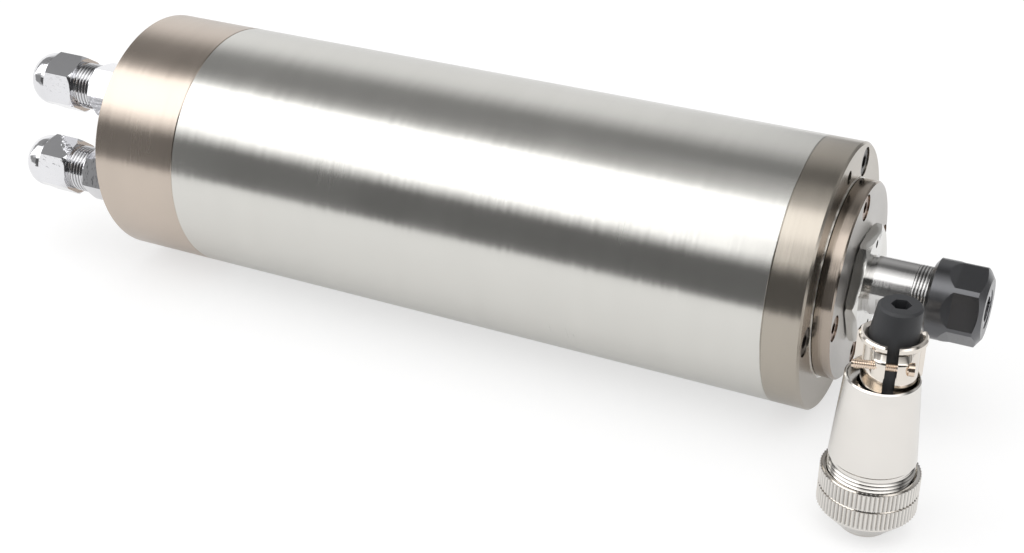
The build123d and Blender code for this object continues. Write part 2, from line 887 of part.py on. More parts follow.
def fitting_body():
    """Hose fitting: root in the cap's port, hexagonal base, threaded stem, through bore."""
    base_start = fitting_washer_thickness
    base_end = base_start + fitting_base_length
    bore_r = fitting_bore_dia / 2
    stem_r = fitting_thread_dia / 2
    mouth_r = fitting_hose_dia / 2
    body = turned([
        (outward(-fitting_root_length), bore_r),
        (outward(-fitting_root_length), fitting_root_dia / 2),
        (outward(base_start), fitting_root_dia / 2),
        (outward(base_start), stem_r),
        (outward(fitting_body_length - edge_break), stem_r),
        (outward(fitting_body_length), stem_r - edge_break),
        (outward(fitting_body_length), mouth_r),
        (outward(fitting_nut_start), mouth_r),
        (outward(fitting_nut_start), bore_r),
    ])
    corner_r = hex_corner_r(fitting_base_across)
    run = edge_break
    slope = run * math.tan(math.radians(60))
    blank = turned([
        (outward(base_start), bore_r),
        (outward(base_start), corner_r),
        (outward(base_end - run), corner_r),
        (outward(base_end), corner_r - slope),
        (outward(base_end), bore_r),
    ])
    return body + (blank & hex_bar(outward(base_end), outward(base_start), fitting_base_across))


def fitting_washer():
    inner_r = fitting_root_dia / 2 + fit_gap
    return tube(outward(fitting_washer_thickness), rear_x, fitting_base_across / 2, inner_r)


def ferrule():
    """Clamping sleeve between the stem's end and the nut's inner cone."""
    start = fitting_body_length + seat_gap
    hose_r = fitting_hose_dia / 2
    return turned([
        (outward(start), hose_r),
        (outward(start), fitting_thread_dia / 2 - edge_break),
        (outward(start + ferrule_length / 2), fitting_thread_dia / 2 - edge_break),
        (outward(start + ferrule_length), hose_r + edge_break),
        (outward(start + ferrule_length), hose_r),
    ])


def fitting_nut():
    """Cap nut of the hose fitting: chamfered hexagon and rounded end with a hose hole."""
    start = fitting_nut_start
    end = start + fitting_nut_length
    bore_r = fitting_thread_dia / 2 + run_gap
    hose_r = fitting_hose_dia / 2
    ferrule_start = fitting_body_length + seat_gap
    cone_start = ferrule_start + ferrule_length / 2
    cone_end = ferrule_start + ferrule_length + run_gap
    rim_r = fitting_nut_rim_dia / 2
    hex_end = start + fitting_nut_hex_length
    shoulder_r = fitting_nut_across / 2
    end_r = fitting_nut_end_dia / 2
    bulge_x = outward((hex_end + end) / 2 + fitting_nut_bulge_shift)
    bulge = (bulge_x, (shoulder_r + end_r) / 2 + fitting_nut_bulge)
    corner_r = hex_corner_r(fitting_nut_across)
    slope = corner_r - rim_r
    profile = Polyline(
        (outward(end), end_r), (outward(end), hose_r), (outward(cone_end), hose_r),
        (outward(cone_end), hose_r + edge_break + run_gap),
        (outward(cone_start), bore_r), (outward(start), bore_r), (outward(start), rim_r),
        (outward(start + slope), corner_r), (outward(hex_end - fitting_nut_corner_run), corner_r),
        (outward(hex_end), shoulder_r))
    dome = ThreePointArc((outward(hex_end), shoulder_r), bulge, (outward(end), end_r))
    blank = revolve(make_face([profile, dome]), Axis.X)
    wall = hex_bar(outward(end), outward(start), fitting_nut_across)
    return blank & wall


def power_socket_shell():
    """Panel socket: root in the rear cap, round flange with two flats, round barrel."""
    flange = socket_flange_thickness
    barrel_end = flange + socket_barrel_length
    nose_r = plug_nose_dia / 2 + run_gap
    root_bore_r = socket_root_dia / 2 - socket_wall
    shell = turned([
        (outward(-socket_root_length), root_bore_r),
        (outward(-socket_root_length), socket_root_dia / 2),
        (outward(0), socket_root_dia / 2),
        (outward(0), socket_flange_dia / 2),
        (outward(flange - edge_break), socket_flange_dia / 2),
        (outward(flange), socket_flange_dia / 2 - edge_break),
        (outward(flange), socket_barrel_dia / 2),
        (outward(barrel_end - edge_break), socket_barrel_dia / 2),
        (outward(barrel_end), socket_barrel_dia / 2 - edge_break),
        (outward(barrel_end), nose_r),
        (outward(-socket_pocket_floor), nose_r),
        (outward(-socket_pocket_floor), root_bore_r),
    ])
    flat = Box(flange, socket_flange_dia, socket_flange_dia)
    reach = (socket_flats_across + socket_flange_dia) / 2
    for side in (-1, 1):
        shell -= Pos(outward(flange / 2), side * reach, 0) * flat
    return shell


def power_socket_insert():
    insert_r = socket_root_dia / 2 - socket_wall - fit_gap
    insert = rod(outward(-socket_pocket_floor - seat_gap), outward(-socket_root_length), insert_r)
    hole_r = contact_dia / 2 + fit_gap
    for hole in contact_ring(rod(rear_x, outward(-socket_root_length - overcut), hole_r)):
        insert -= hole
    return insert


def contact_ring(shape):
    return ring_of(contact_count, 45, contact_circle_r, shape)


def power_socket_pin():
    far = outward(socket_flange_thickness + socket_barrel_length - socket_pin_setback)
    return rod(far, outward(-socket_root_length - socket_pin_tail), contact_dia / 2)


def at_plug(shape):
    """Stand a shape built on the Z axis at the plug's place, screw side to the front."""
    return Pos(plug_x, plug_y, table_z) * Rot(0, 0, plug_facing) * shape


def plug_body():
    """Plug nose and shoulder with the threaded neck for the shell."""
    bore_r = plug_nose_bore / 2
    return turned([
        (0, bore_r),
        (0, plug_nose_dia / 2 - edge_break),
        (edge_break, plug_nose_dia / 2),
        (plug_nose_length, plug_nose_dia / 2),
        (plug_nose_length, plug_neck_dia / 2),
        (plug_neck_top, plug_neck_dia / 2),
        (plug_neck_top, plug_root_dia / 2),
        (plug_neck_top + plug_root_length, plug_root_dia / 2),
        (plug_neck_top + plug_root_length, bore_r),
    ], upright=True)


def knurl_band(bottom, top):
    """Straight-knurled ring: a star outline with one tip per tooth."""
    tip_r = knurl_dia / 2
    root_r = tip_r - knurl_depth
    points = []
    for index in range(2 * knurl_teeth):
        angle = math.pi * index / knurl_teeth
        radius = root_r if index % 2 else tip_r
        points.append((radius * math.cos(angle), radius * math.sin(angle)))
    return extrude(Plane.XY.offset(bottom) * make_face(Polyline(*points, close=True)), top - bottom)


def lock_sleeve():
    """Sliding lock sleeve: tapered front, two knurled bands, open mouth round the neck."""
    lip_r = sleeve_lip_bore / 2
    bore_r = plug_neck_dia / 2 + run_gap
    mouth_r = sleeve_mouth_dia / 2
    groove_r = sleeve_groove_dia / 2
    lip_top = sleeve_bottom + sleeve_lip_height
    taper_top = sleeve_bottom + sleeve_taper_height
    sleeve = turned([
        (sleeve_bottom, lip_r),
        (sleeve_bottom, sleeve_tip_dia / 2),
        (taper_top, sleeve_taper_dia / 2),
        (lower_band_bottom, groove_r),
        (sleeve_top, groove_r),
        (sleeve_top, mouth_r),
        (sleeve_top - sleeve_mouth_depth, mouth_r),
        (sleeve_top - sleeve_mouth_depth, bore_r),
        (lip_top, bore_r),
        (lip_top, lip_r),
    ], upright=True)
    hollow = rod(0, sleeve_top + overcut, mouth_r, upright=True)
    for bottom, top in ((lower_band_bottom, lower_band_top), (upper_band_bottom, upper_band_top)):
        sleeve += knurl_band(bottom, top) - hollow
    return sleeve


def plug_shell():
    """Tapered back shell with a recess in its top for the cable clamp."""
    root_top = plug_neck_top + plug_root_length
    floor_top = shell_top - shell_recess_depth
    root_r = plug_root_dia / 2 + fit_gap
    bore_r = shell_bore_dia / 2
    hole_r = bush_dia / 2 + run_gap
    recess_r = shell_recess_dia / 2
    return turned([
        (shell_bottom, root_r),
        (root_top + seat_gap, root_r),
        (root_top + seat_gap, bore_r),
        (floor_top - shell_floor, bore_r),
        (floor_top - shell_floor, hole_r),
        (floor_top, hole_r),
        (floor_top, recess_r),
        (shell_top - shell_edge, recess_r),
        (shell_top, recess_r + shell_edge),
        (shell_top, shell_top_dia / 2 - shell_edge),
        (shell_top - shell_edge, shell_top_dia / 2),
        (shell_bottom + shell_edge, shell_bottom_dia / 2),
        (shell_bottom, shell_bottom_dia / 2 - shell_edge),
    ], upright=True)


def cable_bush():
    """Tapered rubber bush with a hexagonal cable hole."""
    floor_top = shell_top - shell_recess_depth
    root = floor_top - bush_root
    body = turned([
        (root, 0),
        (root, bush_dia / 2),
        (bush_straight_top, bush_dia / 2),
        (bush_top - edge_break, bush_top_dia / 2),
        (bush_top, bush_top_dia / 2 - edge_break),
        (bush_top, 0),
    ], upright=True)
    outline = RegularPolygon(bush_hole_across / 2, 6, major_radius=False)
    return body - extrude(Plane.XY.offset(root - overcut) * outline, bush_top - root + 2 * overcut)


def cable_clamp():
    """Split clamp: seat ring, half-round back, slim front tube, flared rim and two lugs."""
    seat = shell_top - shell_recess_depth
    bore_r = bush_dia / 2 + run_gap
    tube_r = clamp_tube_dia / 2
    rim_r = clamp_rim_dia / 2
    rim_start = clamp_top - clamp_rim_height
    clamp = turned([
        (seat, bore_r),
        (seat, shell_recess_dia / 2 - fit_gap),
        (seat + shell_recess_depth / 2, shell_recess_dia / 2 - fit_gap),
        (seat + shell_recess_depth / 2, tube_r),
        (rim_start - clamp_rim_flare, tube_r),
        (rim_start, rim_r),
        (clamp_top - clamp_rim_edge, rim_r),
        (clamp_top, rim_r - clamp_rim_edge),
        (clamp_top, bore_r + clamp_mouth_edge),
        (clamp_top - clamp_mouth_edge, bore_r),
    ], upright=True)
    back_top = clamp_top - clamp_back_drop
    back = tube(seat, back_top, clamp_back_dia / 2, bore_r, upright=True)
    half = Box(clamp_back_dia + overcut, clamp_back_dia, 2 * (back_top - seat))
    clamp += back & Pos(0, clamp_back_dia / 2, back_top) * half
    lug_width = clamp_slit + 2 * clamp_lug_thickness
    lug_height = clamp_lug_top - clamp_lug_bottom
    lug_depth = clamp_lug_reach - bore_r - clamp_lug_inset
    lug = Box(lug_width, lug_depth, lug_height)
    lug = fillet(lug.edges().filter_by(Axis.X).group_by(Axis.Y)[0], lug_depth * clamp_lug_round)
    clamp += Pos(0, -(clamp_lug_reach - lug_depth / 2), (clamp_lug_top + clamp_lug_bottom) / 2) * lug
    slit_reach = clamp_lug_reach + overcut
    slit = Box(clamp_slit, slit_reach, clamp_top - seat + 2 * overcut)
    clamp -= Pos(0, -slit_reach / 2, (seat + clamp_top) / 2) * slit
    screw_hole = Rot(0, 90, 0) * Cylinder(clamp_screw_dia / 2 + fit_gap, lug_width + 2 * overcut)
    return clamp - Pos(0, -clamp_screw_reach, clamp_screw_height) * screw_hole


def clamp_screw():
    """Small cross-wise screw that closes the clamp's two lugs."""
    half = clamp_slit / 2 + clamp_lug_thickness
    screw = turned([
        (-half - clamp_screw_tail, 0),
        (-half - clamp_screw_tail, clamp_screw_dia / 2),
        (half, clamp_screw_dia / 2),
        (half, clamp_screw_head_dia / 2),
        (half + clamp_screw_head, clamp_screw_head_dia / 2),
        (half + clamp_screw_head, 0),
    ])
    slot = Box(clamp_screw_head, clamp_screw_slot, clamp_screw_head_dia + overcut)
    screw -= Pos(half + clamp_screw_head, 0, 0) * slot
    return Pos(0, -clamp_screw_reach, clamp_screw_height) * screw


def upright_contact_ring(shape):
    """Copies of an upright shape at the places of the plug's contacts."""
    return [Rot(0, 0, 45 + index * 360 / contact_count) * Pos(contact_circle_r, 0, 0) * shape
            for index in range(contact_count)]


def plug_insert():
    top = insert_recess + insert_length
    body = rod(insert_recess, top, plug_nose_bore / 2 - fit_gap, upright=True)
    hole = rod(insert_recess - overcut, top + overcut, contact_dia / 2 + fit_gap, upright=True)
    for cut in upright_contact_ring(hole):
        body -= cut
    return body


def plug_contacts():
    bottom = insert_recess + plug_contact_recess
    top = insert_recess + insert_length + plug_contact_tail
    return upright_contact_ring(rod(bottom, top, contact_dia / 2, upright=True))


def spindle_nodes():
    """The barrel, motor, bearings and nose."""
    spigot_r = barrel_r - sleeve_wall - run_gap
    front_screw = large_screw(front_screw_top(), -1, front_screw_length)
    rear_screw = large_screw(rear_screw_top(), 1, rear_screw_length)
    nodes = {
        "outer_sleeve": outer_sleeve(),
        "water_jacket": water_jacket(),
        "jacket_seals": [seal(start, jacket_r) for start in jacket_seal_stations()],
        "cap_seals": [seal(start, spigot_r) for start in (rear_seal_x(), front_seal_x())],
        "rear_cap": rear_cap(),
        "rear_cap_screws": screw_ring(rear_screw_angle, rear_screw),
        "front_cap": front_cap(),
        "front_cap_screws": screw_ring(front_screw_angle, front_screw),
        "bearing_cover": bearing_cover(),
        "bearing_cover_screws": cover_screw_ring(cap_screw(
            cover_screw_top(), -1, cover_screw_length, cover_screw_dia, cover_screw_head_dia,
            cover_screw_head_height, cover_screw_socket, cap_screw_socket_depth)),
        "stator_core": stator_core(),
        "stator_windings": stator_windings(),
        "rotor_core": rotor_core(),
        "rotor_cage": rotor_cage(),
        "shaft": nose_shaft(),
        "nose_ring": nose_ring(),
        "rear_lock_nut": rear_lock_nut(),
        "preload_washer": preload_washer(),
        "collet": collet(),
        "collet_nut": collet_nut(),
        "extractor_ring": extractor_ring(),
    }
    front_sizes = (front_bearing_bore, front_bearing_od, front_bearing_width)
    rear_sizes = (rear_bearing_bore, rear_bearing_od, rear_bearing_width)
    places = {
        "front_bearing_outboard": (outboard_x, front_sizes),
        "front_bearing_inboard": (inboard_x, front_sizes),
        "rear_bearing": (rear_bearing_x, rear_sizes),
    }
    for name, (start, sizes) in places.items():
        inner, outer_ring, balls = bearing(start, *sizes)
        nodes[name + "_inner_ring"] = inner
        nodes[name + "_outer_ring"] = outer_ring
        nodes[name + "_balls"] = balls
    return nodes


def rear_nodes():
    """Hose fittings and the power socket on the rear cap."""
    nodes = {}
    washers = []
    for name, angle in fitting_angles.items():
        nodes[name + "_fitting_body"] = polar(angle, fitting_circle_r, fitting_body())
        nodes[name + "_fitting_ferrule"] = polar(angle, fitting_circle_r, ferrule())
        nodes[name + "_fitting_nut"] = polar(angle, fitting_circle_r, fitting_nut())
        washers.append(polar(angle, fitting_circle_r, fitting_washer()))
    nodes["fitting_washers"] = washers
    nodes["power_socket_shell"] = polar(socket_angle, socket_circle_r, power_socket_shell())
    nodes["power_socket_insert"] = polar(socket_angle, socket_circle_r, power_socket_insert())
    pins = [polar(socket_angle, socket_circle_r, pin) for pin in contact_ring(power_socket_pin())]
    nodes["power_socket_pins"] = pins
    return nodes


def plug_nodes():
    """The loose power plug."""
    return {
        "plug_body": at_plug(plug_body()),
        "plug_lock_sleeve": at_plug(lock_sleeve()),
        "plug_shell": at_plug(plug_shell()),
        "plug_cable_bush": at_plug(cable_bush()),
        "plug_cable_clamp": at_plug(cable_clamp()),
        "plug_clamp_screw": at_plug(clamp_screw()),
        "plug_insert": at_plug(plug_insert()),
        "plug_contacts": [at_plug(contact) for contact in plug_contacts()],
    }


for node, shape in {**spindle_nodes(), **rear_nodes(), **plug_nodes()}.items():
    save(shape, node)
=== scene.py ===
import math

import bmesh
import bpy
from mathutils import Matrix, Vector


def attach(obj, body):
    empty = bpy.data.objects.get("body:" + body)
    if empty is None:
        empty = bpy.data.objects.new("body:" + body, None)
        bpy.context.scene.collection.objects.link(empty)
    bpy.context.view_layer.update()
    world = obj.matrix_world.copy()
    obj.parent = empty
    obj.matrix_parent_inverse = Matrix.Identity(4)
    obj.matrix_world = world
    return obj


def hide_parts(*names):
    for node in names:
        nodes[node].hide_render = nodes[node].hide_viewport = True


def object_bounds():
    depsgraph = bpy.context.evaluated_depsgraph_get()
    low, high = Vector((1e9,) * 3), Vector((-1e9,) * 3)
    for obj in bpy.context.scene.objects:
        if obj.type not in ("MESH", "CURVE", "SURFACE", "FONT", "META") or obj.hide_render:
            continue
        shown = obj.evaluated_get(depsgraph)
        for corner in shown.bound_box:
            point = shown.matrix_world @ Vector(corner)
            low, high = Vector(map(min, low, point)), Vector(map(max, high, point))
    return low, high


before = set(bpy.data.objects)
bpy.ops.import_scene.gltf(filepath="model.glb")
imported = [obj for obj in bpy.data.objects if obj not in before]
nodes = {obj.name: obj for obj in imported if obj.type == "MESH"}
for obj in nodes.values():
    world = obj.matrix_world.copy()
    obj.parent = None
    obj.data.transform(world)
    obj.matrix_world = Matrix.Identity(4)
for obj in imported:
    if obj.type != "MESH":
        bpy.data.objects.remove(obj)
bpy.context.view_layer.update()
scene = bpy.context.scene

# ---------------------------------------------------------------- camera
# A short telephoto lens above the spindle, to the right of its middle and looking down along the
# barrel's length, so that the nose and the plug come nearest.
camera = bpy.data.objects.new("Camera", bpy.data.cameras.new("Camera"))
camera.data.sensor_width = 36.0
camera.data.lens = 56.187
camera.location = (0.172638, -0.331017, 0.185040)
camera.rotation_mode = "QUATERNION"
camera.rotation_quaternion = Vector((-0.3834, 0.7839, -0.4884)).to_track_quat("-Z", "Y")
scene.collection.objects.link(camera)
scene.camera = camera

# ---------------------------------------------------------------- table and light
# A pale sheet on a table under a light tent. A long white screen hangs over the front of the
# barrel with grey card on both sides of it, which is what polished metal shows.
scene.view_settings.view_transform = "Standard"
table_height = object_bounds()[0].z

# Brightness that metal mirrors in each stretch along the barrel, by the angle in degrees round
# its axis: 0 is level at the back, 90 straight up and 180 level at the front.
OVER_REAR = (
    (-180, 0.31),
    (-171, 0.31),
    (-165, 0.90),
    (-20, 1.60),
    (0, 1.00),
    (28, 1.10),
    (41, 0.96),
    (52, 0.58),
    (62, 0.31),
    (82, 0.29),
    (90, 0.50),
    (97, 1.20),
    (102, 2.20),
    (137, 2.20),
    (145, 0.70),
    (156, 0.29),
    (180, 0.31),
)
OVER_BARREL = (
    (-180, 0.11),
    (-171, 0.11),
    (-165, 0.86),
    (-20, 1.00),
    (0, 0.84),
    (28, 0.90),
    (41, 0.84),
    (52, 0.54),
    (62, 0.26),
    (82, 0.23),
    (91, 0.34),
    (98, 0.62),
    (105, 2.20),
    (147, 2.20),
    (152, 1.05),
    (159, 0.11),
    (180, 0.11),
)
OVER_NOSE = (
    (-180, 0.26),
    (-171, 0.26),
    (-165, 0.86),
    (-20, 1.55),
    (0, 0.38),
    (16, 0.54),
    (32, 0.44),
    (49, 0.34),
    (62, 0.34),
    (74, 0.52),
    (82, 1.50),
    (98, 1.80),
    (108, 2.20),
    (134, 2.20),
    (150, 2.20),
    (159, 0.55),
    (180, 0.36),
)
OVER_COVER = (
    (-180, 0.40),
    (-171, 0.30),
    (-165, 0.86),
    (-20, 1.10),
    (0, 0.40),
    (16, 0.55),
    (32, 0.55),
    (49, 0.40),
    (62, 0.33),
    (74, 0.46),
    (82, 0.95),
    (98, 1.55),
    (108, 2.20),
    (130, 2.20),
    (136, 1.10),
    (142, 0.22),
    (156, 0.16),
    (168, 0.26),
    (180, 0.42),
)
OVER_SHAFT = (
    (-180, 0.07),
    (-171, 0.08),
    (-160, 0.30),
    (-20, 0.60),
    (0, 0.25),
    (20, 0.38),
    (36, 0.46),
    (52, 0.30),
    (64, 0.11),
    (73, 0.12),
    (84, 0.48),
    (100, 1.15),
    (112, 1.70),
    (125, 1.60),
    (130, 0.90),
    (135, 0.05),
    (180, 0.07),
)
brightest = 2.20
tent_fill = 0.80
# A mirrored ray that points further towards the nose sees the next stretch. Each pair is how far
# along the barrel the ray points where that stretch fades in, and where it is full.
FADES = ((-0.588, -0.572), (-0.229, -0.221), (-0.207, -0.204), (-0.19, -0.175))
# Places of the colour sockets on a Mix node, which share their names with others.
COLOUR_A, COLOUR_B, COLOUR_OUT = 6, 7, 2

world = bpy.data.worlds.new("Light tent")
scene.world = world
world.use_nodes = True
tree = world.node_tree
tree.nodes.clear()
out = tree.nodes.new("ShaderNodeOutputWorld")
seen = tree.nodes.new("ShaderNodeBackground")
seen.inputs["Color"].default_value = (1, 1, 1, 1)
mirrored = tree.nodes.new("ShaderNodeBackground")
filling = tree.nodes.new("ShaderNodeBackground")
filling.inputs["Color"].default_value = (1, 1, 1, 1)
filling.inputs["Strength"].default_value = tent_fill
place = tree.nodes.new("ShaderNodeTexCoord")
parts = tree.nodes.new("ShaderNodeSeparateXYZ")
angle = tree.nodes.new("ShaderNodeMath")
angle.operation = "ARCTAN2"
turn = tree.nodes.new("ShaderNodeMapRange")
turn.inputs["From Min"].default_value = -math.pi
turn.inputs["From Max"].default_value = math.pi
ramps = []
for levels in (OVER_REAR, OVER_BARREL, OVER_NOSE, OVER_COVER, OVER_SHAFT):
    ramp = tree.nodes.new("ShaderNodeValToRGB")
    stops = ramp.color_ramp.elements
    while len(stops) > 1:
        stops.remove(stops[-1])
    for number, (degrees, level) in enumerate(levels):
        position = (degrees + 180) / 360
        stop = stops[0] if number == 0 else stops.new(position)
        stop.position = position
        stop.color = (level / brightest, level / brightest, level / brightest, 1)
    tree.links.new(turn.outputs["Result"], ramp.inputs["Fac"])
    ramps.append(ramp)
mirrored.inputs["Strength"].default_value = brightest
path = tree.nodes.new("ShaderNodeLightPath")
shiny = tree.nodes.new("ShaderNodeMixShader")
direct = tree.nodes.new("ShaderNodeMixShader")
clear = tree.nodes.new("ShaderNodeMath")
clear.operation = "MAXIMUM"
tree.links.new(place.outputs["Generated"], parts.inputs[0])
tree.links.new(parts.outputs["Z"], angle.inputs[0])
tree.links.new(parts.outputs["Y"], angle.inputs[1])
tree.links.new(angle.outputs[0], turn.inputs["Value"])
so_far = ramps[0].outputs["Color"]
for ramp, (fades_in, full) in zip(ramps[1:], FADES):
    towards_nose = tree.nodes.new("ShaderNodeMapRange")
    towards_nose.inputs["From Min"].default_value = fades_in
    towards_nose.inputs["From Max"].default_value = full
    either = tree.nodes.new("ShaderNodeMix")
    either.data_type = "RGBA"
    tree.links.new(parts.outputs["X"], towards_nose.inputs["Value"])
    tree.links.new(towards_nose.outputs["Result"], either.inputs["Factor"])
    tree.links.new(so_far, either.inputs[COLOUR_A])
    tree.links.new(ramp.outputs["Color"], either.inputs[COLOUR_B])
    so_far = either.outputs[COLOUR_OUT]
tree.links.new(so_far, mirrored.inputs["Color"])
tree.links.new(path.outputs["Is Glossy Ray"], shiny.inputs["Fac"])
tree.links.new(filling.outputs[0], shiny.inputs[1])
tree.links.new(mirrored.outputs[0], shiny.inputs[2])
tree.links.new(path.outputs["Is Camera Ray"], clear.inputs[0])
tree.links.new(path.outputs["Is Transmission Ray"], clear.inputs[1])
tree.links.new(clear.outputs[0], direct.inputs["Fac"])
tree.links.new(shiny.outputs[0], direct.inputs[1])
tree.links.new(seen.outputs[0], direct.inputs[2])
tree.links.new(direct.outputs[0], out.inputs["Surface"])

# The sheet looks one way to the eye, another in metal, and lights the object by its albedo alone.
sheet_albedo = 0.42
sheet_glow = 0.60
mirrored_albedo = 0.61
mirrored_glow = 0.28
sheet = bpy.data.materials.new("Table sheet")
sheet.use_nodes = True
tree = sheet.node_tree
tree.nodes.clear()
out = tree.nodes.new("ShaderNodeOutputMaterial")
path = tree.nodes.new("ShaderNodeLightPath")
direct = tree.nodes.new("ShaderNodeMath")
direct.operation = "MAXIMUM"
tree.links.new(path.outputs["Is Camera Ray"], direct.inputs[0])
tree.links.new(path.outputs["Is Transmission Ray"], direct.inputs[1])
looks = []
for albedo, level in (
    (sheet_albedo, sheet_glow),
    (mirrored_albedo, mirrored_glow),
    (sheet_albedo, 0.0),
):
    paper = tree.nodes.new("ShaderNodeBsdfDiffuse")
    paper.inputs["Color"].default_value = (albedo, albedo, albedo, 1)
    glow = tree.nodes.new("ShaderNodeEmission")
    glow.inputs["Strength"].default_value = level
    total = tree.nodes.new("ShaderNodeAddShader")
    tree.links.new(paper.outputs[0], total.inputs[0])
    tree.links.new(glow.outputs[0], total.inputs[1])
    looks.append(total)
to_eye, to_metal, to_object = looks
in_metal = tree.nodes.new("ShaderNodeMixShader")
in_view = tree.nodes.new("ShaderNodeMixShader")
tree.links.new(path.outputs["Is Glossy Ray"], in_metal.inputs["Fac"])
tree.links.new(to_object.outputs[0], in_metal.inputs[1])
tree.links.new(to_metal.outputs[0], in_metal.inputs[2])
tree.links.new(direct.outputs[0], in_view.inputs["Fac"])
tree.links.new(in_metal.outputs[0], in_view.inputs[1])
tree.links.new(to_eye.outputs[0], in_view.inputs[2])
tree.links.new(in_view.outputs[0], out.inputs["Surface"])

table_left, table_right = -1.0, 1.1
table_front, table_back = -0.20, 1.4
corners = (
    (table_left, table_front, table_height),
    (table_right, table_front, table_height),
    (table_right, table_back, table_height),
    (table_left, table_back, table_height),
)
table_mesh = bpy.data.meshes.new("Table")
table_mesh.from_pydata(corners, [], [(0, 1, 2, 3)])
table_mesh.materials.append(sheet)
table = bpy.data.objects.new("Table", table_mesh)
scene.collection.objects.link(table)

for label, spot, power, width in (
    ("Upper lamp", (0.10, -0.25, 0.95), 3.2, 0.9),
    ("Left lamp", (-0.70, -0.45, 0.55), 1.6, 0.6),
):
    lamp = bpy.data.objects.new(label, bpy.data.lights.new(label, "AREA"))
    lamp.data.energy = power
    lamp.data.size = width
    lamp.location = spot
    lamp.rotation_mode = "QUATERNION"
    lamp.rotation_quaternion = (-Vector(spot)).to_track_quat("-Z", "Y")
    lamp.visible_glossy = False
    scene.collection.objects.link(lamp)

# ---------------------------------------------------------------- water jacket
# The inner barrel: an aluminium tube turned on a lathe, with ring channels for the cooling water
# between it and the sleeve. It is pressed on to the stator.


def add_node(tree, kind, values=(), **settings):
    node = tree.nodes.new(kind)
    for key, value in settings.items():
        setattr(node, key, value)
    for key, value in dict(values).items():
        node.inputs[key].default_value = value
    return node


def join(tree, source, target):
    tree.links.new(source, target)


def make_turned_place():
    """Group that gives a place along and out from an axis, so that noise on it runs in rings."""
    group = bpy.data.node_groups.new("Turned place", "ShaderNodeTree")
    group.interface.new_socket("Place", in_out="INPUT", socket_type="NodeSocketVector")
    group.interface.new_socket("Rings per Metre", in_out="INPUT", socket_type="NodeSocketFloat")
    group.interface.new_socket("Wander", in_out="INPUT", socket_type="NodeSocketFloat")
    group.interface.new_socket("Rings", in_out="OUTPUT", socket_type="NodeSocketVector")
    group.interface.new_socket("Radius", in_out="OUTPUT", socket_type="NodeSocketFloat")
    given = group.nodes.new("NodeGroupInput")
    result = group.nodes.new("NodeGroupOutput")
    parts = add_node(group, "ShaderNodeSeparateXYZ")
    flat = add_node(group, "ShaderNodeCombineXYZ")
    radius = add_node(group, "ShaderNodeVectorMath", operation="LENGTH")
    spoke = add_node(group, "ShaderNodeVectorMath", operation="NORMALIZE")
    spoke_parts = add_node(group, "ShaderNodeSeparateXYZ")
    side = add_node(group, "ShaderNodeMath", operation="MULTIPLY")
    lift = add_node(group, "ShaderNodeMath", operation="MULTIPLY")
    along = add_node(group, "ShaderNodeMath", operation="MULTIPLY_ADD")
    outward = add_node(group, "ShaderNodeMath", operation="MULTIPLY")
    whole = add_node(group, "ShaderNodeCombineXYZ")
    join(group, given.outputs["Place"], parts.inputs[0])
    join(group, parts.outputs["Y"], flat.inputs["Y"])
    join(group, parts.outputs["Z"], flat.inputs["Z"])
    join(group, flat.outputs[0], radius.inputs[0])
    join(group, flat.outputs[0], spoke.inputs[0])
    join(group, spoke.outputs[0], spoke_parts.inputs[0])
    join(group, spoke_parts.outputs["Y"], side.inputs[0])
    join(group, given.outputs["Wander"], side.inputs[1])
    join(group, spoke_parts.outputs["Z"], lift.inputs[0])
    join(group, given.outputs["Wander"], lift.inputs[1])
    join(group, parts.outputs["X"], along.inputs[0])
    join(group, given.outputs["Rings per Metre"], along.inputs[1])
    join(group, side.outputs[0], along.inputs[2])
    join(group, radius.outputs["Value"], outward.inputs[0])
    join(group, given.outputs["Rings per Metre"], outward.inputs[1])
    join(group, along.outputs[0], whole.inputs["X"])
    join(group, outward.outputs[0], whole.inputs["Y"])
    join(group, lift.outputs[0], whole.inputs["Z"])
    join(group, whole.outputs[0], result.inputs["Rings"])
    join(group, radius.outputs["Value"], result.inputs["Radius"])
    return group


turned_place = make_turned_place()


def place_on_axis(tree, centre, upright):
    """Object coordinates with the piece's axis along X and through the middle."""
    place = add_node(tree, "ShaderNodeTexCoord")
    mapping = add_node(tree, "ShaderNodeMapping", vector_type="POINT")
    x, y, z = centre
    if upright:
        mapping.inputs["Rotation"].default_value = (0, math.pi / 2, 0)
        mapping.inputs["Location"].default_value = (-z, -y, x)
    else:
        mapping.inputs["Location"].default_value = (-x, -y, -z)
    join(tree, place.outputs["Object"], mapping.inputs["Vector"])
    return mapping.outputs["Vector"]


def ring_noise(tree, place, per_metre, wander, detail):
    """Noise that is drawn out into rings round the axis."""
    rings = add_node(tree, "ShaderNodeGroup", node_tree=turned_place)
    rings.inputs["Rings per Metre"].default_value = per_metre
    rings.inputs["Wander"].default_value = wander
    join(tree, place, rings.inputs["Place"])
    noise = add_node(tree, "ShaderNodeTexNoise", {"Scale": 1.0, "Detail": detail})
    join(tree, rings.outputs["Rings"], noise.inputs["Vector"])
    return noise.outputs["Fac"]


def between(tree, value, low, high, from_low=0.3, from_high=0.7):
    """A value spread from its usual range to a new one, and held at the ends."""
    scale = add_node(tree, "ShaderNodeMapRange", {
        "From Min": from_low, "From Max": from_high, "To Min": low, "To Max": high})
    join(tree, value, scale.inputs["Value"])
    return scale.outputs["Result"]


def blend_colours(tree, value, first, second):
    mix = add_node(tree, "ShaderNodeMix", data_type="RGBA")
    mix.inputs[COLOUR_A].default_value = (*first, 1)
    mix.inputs[COLOUR_B].default_value = (*second, 1)
    join(tree, value, mix.inputs["Factor"])
    return mix.outputs[COLOUR_OUT]


def shade(colour, factor):
    return tuple(min(1.0, channel * factor) for channel in colour)


